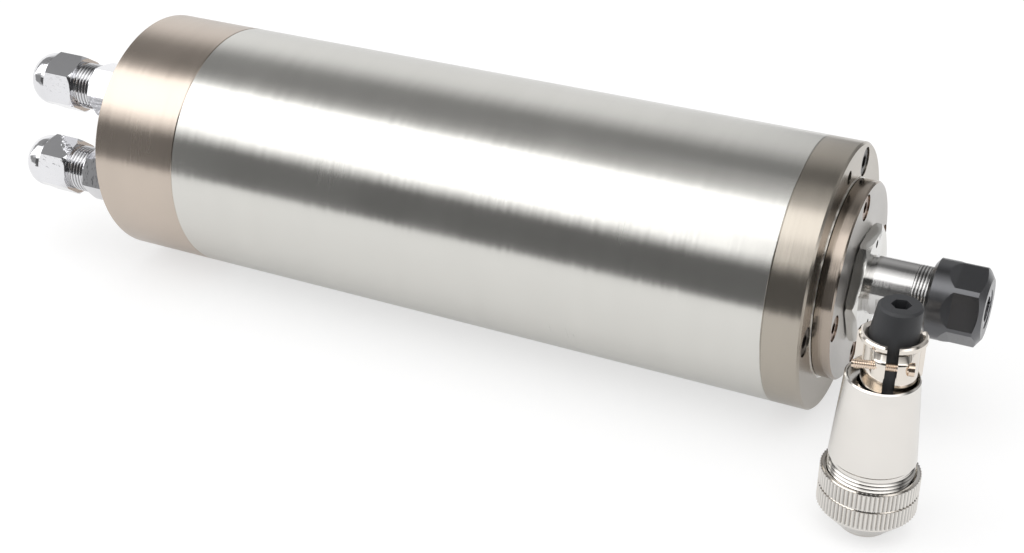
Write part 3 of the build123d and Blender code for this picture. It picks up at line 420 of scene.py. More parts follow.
# Places of the number sockets on a Mix node, which share their names with the colour sockets.
NUMBER_A, NUMBER_B = 2, 3


def turned_finish(name, colour, roughness, rings=900.0, depth=0.02, uneven=0.04, stain=0.05,
                  spread=0.0, waver=0.0, centre=(0, 0, 0), upright=False, metallic=1.0,
                  face_colour=None, face_roughness=None):
    """Lathe-turned or ground metal: fine rings round an axis, with broader bands and stains.

    Spread draws the shine out along the axis, waver tilts it from ring to ring, and the face that
    looks along the axis may have a colour and roughness of its own.
    """
    material = bpy.data.materials.new(name)
    material.use_nodes = True
    tree = material.node_tree
    shader = tree.nodes["Principled BSDF"]
    shader.inputs["Metallic"].default_value = metallic
    place = place_on_axis(tree, centre, upright)
    fine = ring_noise(tree, place, rings * 4, 1.2, 3.0)
    broad = ring_noise(tree, place, rings / 6, 0.8, 4.0)
    stains = add_node(tree, "ShaderNodeTexNoise", {"Scale": 55.0, "Detail": 4.0})
    join(tree, place, stains.inputs["Vector"])
    tone = add_node(tree, "ShaderNodeMix", {"Factor": 0.5}, data_type="FLOAT")
    join(tree, broad, tone.inputs[NUMBER_A])
    join(tree, stains.outputs["Fac"], tone.inputs[NUMBER_B])
    stained = between(tree, tone.outputs[0], 0, 1)
    shading = blend_colours(tree, stained, shade(colour, 1 - stain), shade(colour, 1 + stain / 2))
    mixed = add_node(tree, "ShaderNodeMath", operation="ADD")
    join(tree, fine, mixed.inputs[0])
    join(tree, stains.outputs["Fac"], mixed.inputs[1])
    grain = between(tree, mixed.outputs[0], roughness - uneven, roughness + uneven, 0.6, 1.4)
    if face_colour:
        way = add_node(tree, "ShaderNodeTexCoord")
        way_parts = add_node(tree, "ShaderNodeSeparateXYZ")
        join(tree, way.outputs["Normal"], way_parts.inputs[0])
        on_face = between(tree, way_parts.outputs["X"], 0, 1, 0.8, 0.95)
        face = add_node(tree, "ShaderNodeMix", data_type="RGBA")
        join(tree, on_face, face.inputs["Factor"])
        join(tree, shading, face.inputs[COLOUR_A])
        join(tree, blend_colours(tree, stained, shade(face_colour, 1 - stain),
                                 shade(face_colour, 1 + stain / 2)), face.inputs[COLOUR_B])
        shading = face.outputs[COLOUR_OUT]
        duller = add_node(tree, "ShaderNodeMix", {NUMBER_B: face_roughness}, data_type="FLOAT")
        join(tree, on_face, duller.inputs["Factor"])
        join(tree, grain, duller.inputs[NUMBER_A])
        grain = duller.outputs[0]
    join(tree, shading, shader.inputs["Base Color"])
    join(tree, grain, shader.inputs["Roughness"])
    bump = add_node(tree, "ShaderNodeBump", {"Strength": depth, "Distance": 0.0002})
    join(tree, fine, bump.inputs["Height"])
    if not spread:
        join(tree, bump.outputs["Normal"], shader.inputs["Normal"])
        return material
    shader.inputs["Anisotropic"].default_value = spread
    parts = add_node(tree, "ShaderNodeSeparateXYZ")
    minus = add_node(tree, "ShaderNodeMath", {1: -1.0}, operation="MULTIPLY")
    around = add_node(tree, "ShaderNodeCombineXYZ")
    to_world = add_node(tree, "ShaderNodeVectorTransform", vector_type="VECTOR",
                        convert_from="OBJECT", convert_to="WORLD")
    unit = add_node(tree, "ShaderNodeVectorMath", operation="NORMALIZE")
    surface = add_node(tree, "ShaderNodeNewGeometry")
    across = add_node(tree, "ShaderNodeVectorMath", operation="CROSS_PRODUCT")
    join(tree, place, parts.inputs[0])
    join(tree, parts.outputs["Z"], minus.inputs[0])
    join(tree, minus.outputs[0], around.inputs["Y"])
    join(tree, parts.outputs["Y"], around.inputs["Z"])
    join(tree, around.outputs[0], to_world.inputs[0])
    join(tree, to_world.outputs[0], unit.inputs[0])
    join(tree, unit.outputs[0], across.inputs[0])
    join(tree, surface.outputs["Normal"], across.inputs[1])
    join(tree, across.outputs[0], shader.inputs["Tangent"])
    grooves = ring_noise(tree, place, rings, 0.5, 4.0)
    lean = between(tree, grooves, -waver, waver, 0.25, 0.75)
    tilt = add_node(tree, "ShaderNodeVectorMath", operation="SCALE")
    leaned = add_node(tree, "ShaderNodeVectorMath", operation="ADD")
    normal = add_node(tree, "ShaderNodeVectorMath", operation="NORMALIZE")
    join(tree, unit.outputs[0], tilt.inputs[0])
    join(tree, lean, tilt.inputs["Scale"])
    join(tree, bump.outputs["Normal"], leaned.inputs[0])
    join(tree, tilt.outputs[0], leaned.inputs[1])
    join(tree, leaned.outputs[0], normal.inputs[0])
    join(tree, normal.outputs[0], shader.inputs["Normal"])
    return material


def coat(material, *names):
    """Give a finish to solids that keep their own mesh."""
    for name in names:
        for slot in nodes[name].material_slots:
            slot.material = material


jacket_colour = (0.80, 0.80, 0.80)
coat(turned_finish("Machined aluminium", jacket_colour, roughness=0.30, rings=700.0),
     "water_jacket")

# ---------------------------------------------------------------- seals
# O-rings of black nitrile rubber, moulded, and rolled into grooves: two on the jacket and one on
# each flange.


def moulded_finish(name, colour, roughness, grain=6000.0, depth=0.15, uneven=0.05, stain=0.15,
                   metallic=0.0):
    """Moulded, cast or dipped surface: an even grain with soft lighter and darker patches."""
    material = bpy.data.materials.new(name)
    material.use_nodes = True
    tree = material.node_tree
    shader = tree.nodes["Principled BSDF"]
    shader.inputs["Metallic"].default_value = metallic
    place = add_node(tree, "ShaderNodeTexCoord").outputs["Object"]
    fine = add_node(tree, "ShaderNodeTexNoise", {"Scale": grain, "Detail": 2.0})
    broad = add_node(tree, "ShaderNodeTexNoise", {"Scale": grain / 25, "Detail": 4.0})
    join(tree, place, fine.inputs["Vector"])
    join(tree, place, broad.inputs["Vector"])
    join(tree, blend_colours(tree, between(tree, broad.outputs["Fac"], 0, 1),
                             shade(colour, 1 - stain), shade(colour, 1 + stain)),
         shader.inputs["Base Color"])
    join(tree, between(tree, broad.outputs["Fac"], roughness - uneven, roughness + uneven),
         shader.inputs["Roughness"])
    bump = add_node(tree, "ShaderNodeBump", {"Strength": depth, "Distance": 0.0002})
    join(tree, fine.outputs["Fac"], bump.inputs["Height"])
    join(tree, bump.outputs["Normal"], shader.inputs["Normal"])
    return material


nitrile_colour = (0.022, 0.022, 0.022)
coat(moulded_finish("Nitrile rubber", nitrile_colour, roughness=0.50),
     "jacket_seals", "cap_seals")

# ---------------------------------------------------------------- stator
# Silicon steel sheets stacked and pressed together, with enamelled copper wire wound through their
# slots and round the ends.


def stacked_finish(name, colour, thickness):
    """Stack of punched sheets: a thin dark line between one sheet and the next."""
    material = bpy.data.materials.new(name)
    material.use_nodes = True
    tree = material.node_tree
    shader = tree.nodes["Principled BSDF"]
    shader.inputs["Metallic"].default_value = 0.9
    place = add_node(tree, "ShaderNodeTexCoord").outputs["Object"]
    lines = add_node(tree, "ShaderNodeTexWave", {
        "Scale": math.pi / 10 / thickness, "Distortion": 0.4, "Detail": 1.0,
    }, wave_type="BANDS", bands_direction="X")
    join(tree, place, lines.inputs["Vector"])
    join(tree, blend_colours(tree, between(tree, lines.outputs["Fac"], 0, 1, 0.05, 0.35),
                             shade(colour, 0.45), colour), shader.inputs["Base Color"])
    join(tree, between(tree, lines.outputs["Fac"], 0.55, 0.36, 0.0, 1.0),
         shader.inputs["Roughness"])
    bump = add_node(tree, "ShaderNodeBump", {"Strength": 0.3, "Distance": 0.0002})
    join(tree, lines.outputs["Fac"], bump.inputs["Height"])
    join(tree, bump.outputs["Normal"], shader.inputs["Normal"])
    return material


sheet_steel_colour = (0.36, 0.36, 0.37)
sheet_thickness = 0.0005
coat(stacked_finish("Silicon steel sheets", sheet_steel_colour, sheet_thickness),
     "stator_core", "rotor_core")


def wound_finish(name, colour, wire):
    """Bundle of enamelled wires lying side by side."""
    material = bpy.data.materials.new(name)
    material.use_nodes = True
    tree = material.node_tree
    shader = tree.nodes["Principled BSDF"]
    shader.inputs["Metallic"].default_value = 0.7
    shader.inputs["Coat Weight"].default_value = 0.6
    shader.inputs["Coat Roughness"].default_value = 0.15
    place = add_node(tree, "ShaderNodeTexCoord").outputs["Object"]
    strands = add_node(tree, "ShaderNodeTexWave", {
        "Scale": math.pi / 10 / wire, "Distortion": 6.0, "Detail": 2.0, "Detail Scale": 0.15,
    }, wave_type="RINGS", rings_direction="X")
    join(tree, place, strands.inputs["Vector"])
    join(tree, blend_colours(tree, between(tree, strands.outputs["Fac"], 0, 1, 0.1, 0.8),
                             shade(colour, 0.35), colour), shader.inputs["Base Color"])
    join(tree, between(tree, strands.outputs["Fac"], 0.45, 0.28, 0.0, 1.0),
         shader.inputs["Roughness"])
    bump = add_node(tree, "ShaderNodeBump", {"Strength": 0.6, "Distance": 0.0004})
    join(tree, strands.outputs["Fac"], bump.inputs["Height"])
    join(tree, bump.outputs["Normal"], shader.inputs["Normal"])
    return material


enamel_colour = (0.60, 0.27, 0.12)
wire_thickness = 0.0008
coat(wound_finish("Enamelled copper", enamel_colour, wire_thickness), "stator_windings")

# ---------------------------------------------------------------- rotor
# A cast aluminium cage in a stack of the same sheets, shrunk on the shaft. The shaft is ground
# steel, and its nose has a groove, two wrench flats and a fine rolled thread for the collet nut.
cast_colour = (0.72, 0.72, 0.73)
coat(moulded_finish("Cast aluminium", cast_colour, roughness=0.42, grain=3000.0, depth=0.3,
                    metallic=1.0), "rotor_cage")
shaft_colour = (0.66, 0.65, 0.64)
coat(turned_finish("Ground shaft steel", shaft_colour, roughness=0.13, rings=1200.0, depth=0.02,
                   spread=0.5, waver=0.008), "shaft")


def make_thread_tree():
    """Rolled thread: a ridge wound round a core, which grows and dies out over its end turns."""
    tree = bpy.data.node_groups.new("Rolled thread", "GeometryNodeTree")
    tree.is_modifier = True
    for label in ("Core Radius", "Ridge Height", "Pitch", "Turns", "End Turns"):
        tree.interface.new_socket(label, in_out="INPUT", socket_type="NodeSocketFloat")
    tree.interface.new_socket("Finish", in_out="INPUT", socket_type="NodeSocketMaterial")
    tree.interface.new_socket("Geometry", in_out="OUTPUT", socket_type="NodeSocketGeometry")
    given = tree.nodes.new("NodeGroupInput")
    result = tree.nodes.new("NodeGroupOutput")
    rise = add_node(tree, "ShaderNodeMath", operation="MULTIPLY")
    helix = add_node(tree, "GeometryNodeCurveSpiral", {"Resolution": 64})
    upright = add_node(tree, "GeometryNodeSetCurveNormal", mode="Z_UP")
    outline = add_node(tree, "GeometryNodeCurvePrimitiveCircle", {"Resolution": 4, "Radius": 1.0},
                       mode="RADIUS")
    half_pitch = add_node(tree, "ShaderNodeMath", {1: 0.51}, operation="MULTIPLY")
    stretch = add_node(tree, "ShaderNodeCombineXYZ", {"Z": 1.0})
    sized = add_node(tree, "GeometryNodeTransform")
    along = add_node(tree, "GeometryNodeSplineParameter")
    gone = add_node(tree, "ShaderNodeMath", operation="MULTIPLY")
    left = add_node(tree, "ShaderNodeMath", operation="SUBTRACT")
    nearer = add_node(tree, "ShaderNodeMath", operation="MINIMUM")
    share = add_node(tree, "ShaderNodeMath", operation="DIVIDE", use_clamp=True)
    grown = add_node(tree, "ShaderNodeMath", {1: 0.98, 2: 0.02}, operation="MULTIPLY_ADD")
    sweep = add_node(tree, "GeometryNodeCurveToMesh", {"Fill Caps": True})
    real = add_node(tree, "GeometryNodeRealizeInstances")
    finish = add_node(tree, "GeometryNodeSetMaterial")
    join(tree, given.outputs["Pitch"], rise.inputs[0])
    join(tree, given.outputs["Turns"], rise.inputs[1])
    join(tree, given.outputs["Turns"], helix.inputs["Rotations"])
    join(tree, given.outputs["Core Radius"], helix.inputs["Start Radius"])
    join(tree, given.outputs["Core Radius"], helix.inputs["End Radius"])
    join(tree, rise.outputs[0], helix.inputs["Height"])
    join(tree, helix.outputs["Curve"], upright.inputs["Curve"])
    join(tree, given.outputs["Pitch"], half_pitch.inputs[0])
    join(tree, given.outputs["Ridge Height"], stretch.inputs["X"])
    join(tree, half_pitch.outputs[0], stretch.inputs["Y"])
    join(tree, outline.outputs["Curve"], sized.inputs["Geometry"])
    join(tree, stretch.outputs[0], sized.inputs["Scale"])
    join(tree, along.outputs["Factor"], gone.inputs[0])
    join(tree, given.outputs["Turns"], gone.inputs[1])
    join(tree, given.outputs["Turns"], left.inputs[0])
    join(tree, gone.outputs[0], left.inputs[1])
    join(tree, gone.outputs[0], nearer.inputs[0])
    join(tree, left.outputs[0], nearer.inputs[1])
    join(tree, nearer.outputs[0], share.inputs[0])
    join(tree, given.outputs["End Turns"], share.inputs[1])
    join(tree, share.outputs[0], grown.inputs[0])
    join(tree, upright.outputs["Curve"], sweep.inputs["Curve"])
    join(tree, grown.outputs[0], sweep.inputs["Scale"])
    join(tree, sized.outputs["Geometry"], sweep.inputs["Profile Curve"])
    join(tree, sweep.outputs["Mesh"], real.inputs["Geometry"])
    join(tree, real.outputs["Geometry"], finish.inputs["Geometry"])
    join(tree, given.outputs["Finish"], finish.inputs["Material"])
    join(tree, finish.outputs["Geometry"], result.inputs["Geometry"])
    return tree


thread_tree = make_thread_tree()


thread_sharp = math.radians(40)


def thread(name, axis, start, core, height, pitch, turns, end_turns, finish):
    """One rolled thread from start along axis, as a plain closed mesh."""
    piece = bpy.data.objects.new(name, bpy.data.meshes.new(name))
    scene.collection.objects.link(piece)
    modifier = piece.modifiers.new("Thread", "NODES")
    modifier.node_group = thread_tree
    sizes = {"Core Radius": core, "Ridge Height": height, "Pitch": pitch, "Turns": turns,
             "End Turns": end_turns, "Finish": finish}
    for item in thread_tree.interface.items_tree:
        if item.in_out == "INPUT":
            modifier[item.identifier] = sizes[item.name]
    bpy.context.view_layer.update()
    shaped = piece.evaluated_get(bpy.context.evaluated_depsgraph_get())
    mesh = bpy.data.meshes.new_from_object(shaped)
    piece.modifiers.clear()
    piece.data = mesh
    mesh.name = name
    along = Vector(axis).to_track_quat("Z", "Y").to_matrix().to_4x4()
    mesh.transform(Matrix.Translation(start) @ along)
    work = bmesh.new()
    work.from_mesh(mesh)
    bmesh.ops.remove_doubles(work, verts=work.verts, dist=1e-7)
    bmesh.ops.recalc_face_normals(work, faces=work.faces)
    work.to_mesh(mesh)
    work.free()
    mesh.shade_smooth()
    mesh.set_sharp_from_angle(angle=thread_sharp)
    return piece


def thread_finish(name, colour, roughness, core, height, centre=(0, 0, 0), upright=False,
                  root_shade=0.12):
    """Rolled thread: bright on the crests, with painted shade at the roots for the shadow down in
    its hollows.
    """
    material = bpy.data.materials.new(name)
    material.use_nodes = True
    tree = material.node_tree
    shader = tree.nodes["Principled BSDF"]
    shader.inputs["Metallic"].default_value = 1.0
    place = place_on_axis(tree, centre, upright)
    rings = add_node(tree, "ShaderNodeGroup", node_tree=turned_place)
    join(tree, place, rings.inputs["Place"])
    specks = add_node(tree, "ShaderNodeTexNoise", {"Scale": 1500.0, "Detail": 2.0})
    join(tree, place, specks.inputs["Vector"])
    # Painted shade: towards the thread's roots the colour falls to a share of itself, as if the
    # hollows were shaded.
    crest = between(tree, rings.outputs["Radius"], 0, 1, core + 0.1 * height,
                    core + 0.75 * height)
    join(tree, blend_colours(tree, crest, shade(colour, root_shade), colour),
         shader.inputs["Base Color"])
    join(tree, between(tree, specks.outputs["Fac"], roughness - 0.05, roughness + 0.08),
         shader.inputs["Roughness"])
    return material


nose_thread_start = 0.1151
nose_thread_core = 0.00693
nose_thread_height = 0.00006
nose_thread_pitch = 0.00075
nose_thread_turns = 5.0
nose_thread = thread("nose_thread", (1, 0, 0), (nose_thread_start, 0, 0), nose_thread_core,
                     nose_thread_height, nose_thread_pitch, nose_thread_turns, end_turns=0.4,
                     finish=thread_finish("Nose thread steel", shaft_colour, roughness=0.20,
                                          core=nose_thread_core, height=nose_thread_height))
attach(nose_thread, "rotor")

# ---------------------------------------------------------------- bearings
# A pair of ball bearings behind the nose and a single one at the back: rings and balls of ground
# and lapped bearing steel, the rear one held by a nut and loaded by a conical spring washer.
bearing_colour = (0.72, 0.72, 0.73)
spring_colour = (0.50, 0.50, 0.52)
coat(turned_finish("Bearing steel", bearing_colour, roughness=0.14, rings=1500.0, depth=0.02),
     *[name for name in nodes if "bearing_" in name and name.endswith(("_ring", "_balls"))])
spring_steel = turned_finish("Spring steel", spring_colour, roughness=0.26, rings=900.0,
                             depth=0.03)
coat(spring_steel, "preload_washer")

# ---------------------------------------------------------------- sleeve
# The outer barrel: a stainless steel tube, centreless ground, so that fine marks run round it and
# light spreads along it. It slides over the jacket and its seals.
sleeve_colour = (0.72, 0.71, 0.675)
coat(turned_finish("Ground stainless steel", sleeve_colour, roughness=0.23, rings=900.0,
                   depth=0.015, uneven=0.05, stain=0.03, spread=0.8, waver=0.008), "outer_sleeve")

# ---------------------------------------------------------------- rear flange
# Turned and nickel-plated cap that carries the rear bearing, the power socket and the two hose
# fittings. Three sunk socket screws pull it on to the jacket.
flange_colour = (0.61, 0.53, 0.46)
coat(turned_finish("Rear flange nickel", flange_colour, roughness=0.24, rings=700.0, depth=0.02,
                   uneven=0.05, stain=0.05, spread=0.8, waver=0.010), "rear_cap")
screw_colour = (0.055, 0.050, 0.047)
screw_finish = moulded_finish("Blackened screw steel", screw_colour, roughness=0.30, grain=3000.0,
                              depth=0.1, metallic=0.8)
coat(screw_finish, "rear_cap_screws")

# ---------------------------------------------------------------- power socket
# Nickel-plated shell screwed into the rear flange, with four brass pins in a block of black
# plastic.
nickel_colour = (0.85, 0.82, 0.78)
plastic_colour = (0.030, 0.030, 0.030)
brass_colour = (0.80, 0.58, 0.26)
coat(turned_finish("Socket nickel", nickel_colour, roughness=0.16, rings=900.0, depth=0.03),
     "power_socket_shell")
black_plastic = moulded_finish("Black moulded plastic", plastic_colour, roughness=0.45)
coat(black_plastic, "power_socket_insert")
brass = moulded_finish("Bright brass", brass_colour, roughness=0.20, grain=4000.0, depth=0.05,
                       metallic=1.0)
coat(brass, "power_socket_pins")

# ---------------------------------------------------------------- hose fittings
# Two compression fittings of chromed brass on rubber washers. Each has a six-sided base, a
# threaded stem, a brass ferrule and a cap nut that closes on the hose.
stem_thread_start = -0.1059
stem_pitch = 0.001
stem_turns = 5.3
fitting_places = {"upper": (-0.015686, 0.016821), "lower": (-0.022410, -0.005174)}
chrome_colour = (0.80, 0.80, 0.82)
stem_radius = 0.006
stem_ridge = 0.00022
washer_colour = (0.025, 0.025, 0.025)
chrome = moulded_finish("Chrome plate", chrome_colour, roughness=0.07, grain=700.0, depth=0.32,
                        uneven=0.03, stain=0.10, metallic=1.0)
coat(brass, *[f"{side}_fitting_ferrule" for side in fitting_places])
coat(moulded_finish("Washer rubber", washer_colour, roughness=0.55), "fitting_washers")
copy_sharp = math.radians(25)


def turned_copy(node, name, centre, degrees, finish):
    """A piece in the same place, tightened a little further round its own axis."""
    mesh = nodes[node].data.copy()
    mesh.name = name
    work = bmesh.new()
    work.from_mesh(mesh)
    bmesh.ops.remove_doubles(work, verts=work.verts, dist=1e-6)
    work.to_mesh(mesh)
    work.free()
    if "custom_normal" in mesh.attributes:
        mesh.attributes.remove(mesh.attributes["custom_normal"])
    there = Matrix.Translation(centre)
    mesh.transform(there @ Matrix.Rotation(math.radians(degrees), 4, "X") @ there.inverted())
    mesh.shade_smooth()
    mesh.set_sharp_from_angle(angle=copy_sharp)
    mesh.materials.clear()
    mesh.materials.append(finish)
    piece = bpy.data.objects.new(name, mesh)
    scene.collection.objects.link(piece)
    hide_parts(node)
    return piece


fitting_turns = {("upper", "nut"): 12.0, ("upper", "body"): -20.0,
                 ("lower", "nut"): 8.0, ("lower", "body"): -6.0}
for (side, part), degrees in fitting_turns.items():
    y, z = fitting_places[side]
    fitted = turned_copy(f"{side}_fitting_{part}", f"{side}_hose_{part}", (0, y, z), degrees,
                         chrome)
    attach(fitted, "housing" if part == "body" else f"{side}_nut")
for side, (y, z) in fitting_places.items():
    # The stem threads carry a lighter painted shade at their roots than the nose thread.
    finish = thread_finish(f"{side.capitalize()} stem chrome", chrome_colour, roughness=0.12,
                           core=stem_radius, height=stem_ridge, centre=(0, y, z), root_shade=0.40)
    stem_thread = thread(f"{side}_stem_thread", (-1, 0, 0), (stem_thread_start, y, z), stem_radius,
                         stem_ridge, stem_pitch, stem_turns, end_turns=0.5, finish=finish)
    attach(stem_thread, "housing")

# ---------------------------------------------------------------- front flange
# Turned and nickel-plated cap for the front bearings, darker than the rear one. Three socket
# screws sit in its pockets, with two jacking holes between them.
front_flange_colour = (0.46, 0.42, 0.365)
coat(turned_finish("Front flange nickel", front_flange_colour, roughness=0.22, rings=800.0,
                   depth=0.03, uneven=0.05, stain=0.07, spread=0.7, waver=0.012), "front_cap")
coat(screw_finish, "front_cap_screws")

# ---------------------------------------------------------------- bearing cover
# Stepped disc, turned, polished and nickel-plated, whose spigot clamps the bearings' outer rings.
# Four small socket screws hold it.
cover_colour = (0.43, 0.37, 0.315)
cover_face_colour = (0.56, 0.54, 0.515)
coppery_colour = (0.34, 0.24, 0.19)
coat(turned_finish("Cover nickel", cover_colour, roughness=0.15, rings=700.0, depth=0.03,
                   uneven=0.05, stain=0.14, spread=0.6, waver=0.02,
                   face_colour=cover_face_colour, face_roughness=0.34), "bearing_cover")
coat(moulded_finish("Coppery screw steel", coppery_colour, roughness=0.26, grain=3000.0, depth=0.1,
                    metallic=1.0), "bearing_cover_screws")

# ---------------------------------------------------------------- shim
# A ring of bright steel foil between the cover and the flange, which sets the play of the
# bearings. Its outer edge is snipped by hand, so it stands out unevenly.
shim_x = 0.0975
shim_thickness = 0.00020
shim_inner, shim_outer = 0.02395, 0.02428
shim_uneven = 0.00013
shim_steps = 240
shim_colour = (0.92, 0.91, 0.88)
shim_mesh = bpy.data.meshes.new("cover_shim")
work = bmesh.new()
loops = []
for number in range(shim_steps):
    turn = 2 * math.pi * number / shim_steps
    edge = shim_outer + shim_uneven * (math.sin(3 * turn + 1.0) + 0.5 * math.sin(17 * turn)
                                       + 0.35 * math.sin(41 * turn + 2.0))
    loops.append([work.verts.new((x, reach * math.cos(turn), reach * math.sin(turn)))
                  for x, reach in ((shim_x, shim_inner), (shim_x, edge),
                                   (shim_x + shim_thickness, edge),
                                   (shim_x + shim_thickness, shim_inner))])
for number, loop in enumerate(loops):
    following = loops[(number + 1) % shim_steps]
    for corner in range(4):
        work.faces.new((loop[corner], loop[(corner + 1) % 4], following[(corner + 1) % 4],
                        following[corner]))
bmesh.ops.recalc_face_normals(work, faces=work.faces)
work.to_mesh(shim_mesh)
work.free()
shim_mesh.materials.append(turned_finish("Shim steel", shim_colour, roughness=0.30, rings=900.0,
                                         depth=0.03))
cover_shim = bpy.data.objects.new("cover_shim", shim_mesh)
scene.collection.objects.link(cover_shim)
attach(cover_shim, "housing")

# ---------------------------------------------------------------- nose ring
# Six-sided ring of polished steel with two blind holes, on the shaft in front of the cover. Its
# hub clamps the bearings' inner rings, and it throws dust and water off as the shaft turns.
ring_colour = (0.78, 0.77, 0.74)
ring_hub_radius = 0.0118
ring_trim = 0.95
polish_scale = 120.0
polish_depth = 0.0011


def hand_polished_finish(name, colour, roughness):
    """Turned metal polished by hand, so that its flats are a little wavy."""
    material = turned_finish(name, colour, roughness, rings=900.0, depth=0.03)
    tree = material.node_tree
    marks = tree.nodes["Principled BSDF"].inputs["Normal"].links[0].from_node
    place = add_node(tree, "ShaderNodeTexCoord").outputs["Object"]
    hollows = add_node(tree, "ShaderNodeTexNoise", {"Scale": polish_scale, "Detail": 0.0})
    polish = add_node(tree, "ShaderNodeBump", {"Strength": 1.0, "Distance": polish_depth})
    join(tree, place, hollows.inputs["Vector"])
    join(tree, hollows.outputs["Fac"], polish.inputs["Height"])
    join(tree, polish.outputs["Normal"], marks.inputs["Normal"])
    return material


ring_finish = hand_polished_finish("Polished ring steel", ring_colour, roughness=0.14)
coat(ring_finish, "rear_lock_nut")


def trimmed_copy(node, name, inside, scale, finish):
    """A piece in the same place, with what lies outside a radius brought in towards its axis."""
    piece = turned_copy(node, name, (0, 0, 0), 0.0, finish)
    for vertex in piece.data.vertices:
        if math.hypot(vertex.co.y, vertex.co.z) > inside:
            vertex.co.y *= scale
            vertex.co.z *= scale
    return piece


slinger = trimmed_copy("nose_ring", "slinger_ring", ring_hub_radius, ring_trim, ring_finish)
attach(slinger, "rotor")

# ---------------------------------------------------------------- collet nut
# Milled nut of hardened steel with a satin black oxide skin. Its eccentric ring snaps over the
# groove of the slotted spring steel collet, so that the nut draws the collet out again.


def blackened_finish(name, colour, roughness):
    """Black oxide on machined steel: fine lathe rings, worn a little lighter in places."""
    return turned_finish(name, colour, roughness, rings=500.0, depth=0.004, uneven=0.03,
                         stain=0.08, metallic=0.90)


black_oxide_colour = (0.142, 0.143, 0.150)
coat(blackened_finish("Black oxide", black_oxide_colour, roughness=0.22), "collet_nut")
coat(spring_steel, "collet", "extractor_ring")

# ---------------------------------------------------------------- plug body
# The loose power plug stands on its nose. Its brass body is turned and nickel-plated, with a
# threaded neck for the shell, and holds four contacts in a plastic block.
plug_centre = (0.1192, -0.0471, 0)
plug_nickel = turned_finish("Plug nickel", nickel_colour, roughness=0.13, rings=900.0, depth=0.03,
                            uneven=0.04, stain=0.05, centre=plug_centre, upright=True)
coat(plug_nickel, "plug_body")
coat(black_plastic, "plug_insert")
coat(brass, "plug_contacts")
neck_radius = 0.00885
neck_ridge = 0.00045
neck_pitch = 0.0009
neck_turns = 4.6
neck_start = (plug_centre[0], plug_centre[1], table_height + 0.0133)
# The neck thread carries painted shade at its roots.
neck_thread = thread("neck_thread", (0, 0, 1), neck_start, neck_radius, neck_ridge, neck_pitch,
                     neck_turns, end_turns=0.4,
                     finish=thread_finish("Neck thread nickel", nickel_colour, roughness=0.16,
                                          core=neck_radius, height=neck_ridge,
                                          centre=plug_centre, upright=True, root_shade=0.20))
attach(neck_thread, "plug")

# ---------------------------------------------------------------- lock sleeve
# Sliding sleeve with a tapered front and two bands of straight knurling for the fingers, turned
# and nickel-plated.
knurl_root, knurl_tip = 0.01040, 0.01075


def knurled_finish(name, colour, roughness):
    """Plated metal with painted shade down in the grooves of the knurling."""
    material = turned_finish(name, colour, roughness, rings=1200.0, depth=0.02, uneven=0.04,
                             stain=0.06, centre=plug_centre, upright=True)
    tree = material.node_tree
    shader = tree.nodes["Principled BSDF"]
    bright = shader.inputs["Base Color"].links[0].from_socket
    rings = add_node(tree, "ShaderNodeGroup", node_tree=turned_place)
    join(tree, place_on_axis(tree, plug_centre, True), rings.inputs["Place"])
    up = between(tree, rings.outputs["Radius"], 1, 0, knurl_root - 0.00008, knurl_root - 0.00002)
    out = between(tree, rings.outputs["Radius"], 0, 1, knurl_root + 0.00003, knurl_tip - 0.00004)
    tip = add_node(tree, "ShaderNodeMath", operation="MAXIMUM")
    join(tree, up, tip.inputs[0])
    join(tree, out, tip.inputs[1])
    # Painted shade: the grooves between the knurl's teeth are drawn at a darker share of the
    # plating colour.
    mix = add_node(tree, "ShaderNodeMix", data_type="RGBA")
    mix.inputs[COLOUR_A].default_value = (*shade(colour, 0.58), 1)
    join(tree, bright, mix.inputs[COLOUR_B])
    join(tree, tip.outputs[0], mix.inputs["Factor"])
    join(tree, mix.outputs[COLOUR_OUT], shader.inputs["Base Color"])
    return material


coat(knurled_finish("Lock sleeve nickel", nickel_colour, roughness=0.14), "plug_lock_sleeve")

# ---------------------------------------------------------------- back shell
# Tapered shell of bright nickel-plated metal, turned on a lathe. It screws on the neck of the
# plug's body and covers the wires.
coat(turned_finish("Back shell nickel", nickel_colour, roughness=0.17, rings=500.0, depth=0.04,
                   uneven=0.05, stain=0.06, centre=plug_centre, upright=True), "plug_shell")

# ---------------------------------------------------------------- cable bush
# A bush of dark rubber with a six-sided hole for the cable. The clamp has pulled it over to one
# side, and its free end leans a little further that way.
lean_way = Vector((0.898, 0.439, 0.0))
lean_offset = 0.00115
lean_slope = 0.10
lean_from = table_height + 0.0485


def leaned_copy(node, name, finish, slope):
    """A piece carried over to the side that the clamp is bent to, and leaning above its mouth."""
    piece = turned_copy(node, name, (0, 0, 0), 0.0, finish)
    for vertex in piece.data.vertices:
        above = max(0.0, vertex.co.z - lean_from)
        vertex.co += lean_way * (lean_offset + slope * above)
    return piece


bush_colour = (0.030, 0.031, 0.034)
bush_rubber = moulded_finish("Bush rubber", bush_colour, roughness=0.48, grain=5000.0, depth=0.2)
bush = leaned_copy("plug_cable_bush", "cable_bush", bush_rubber, lean_slope)
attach(bush, "plug")

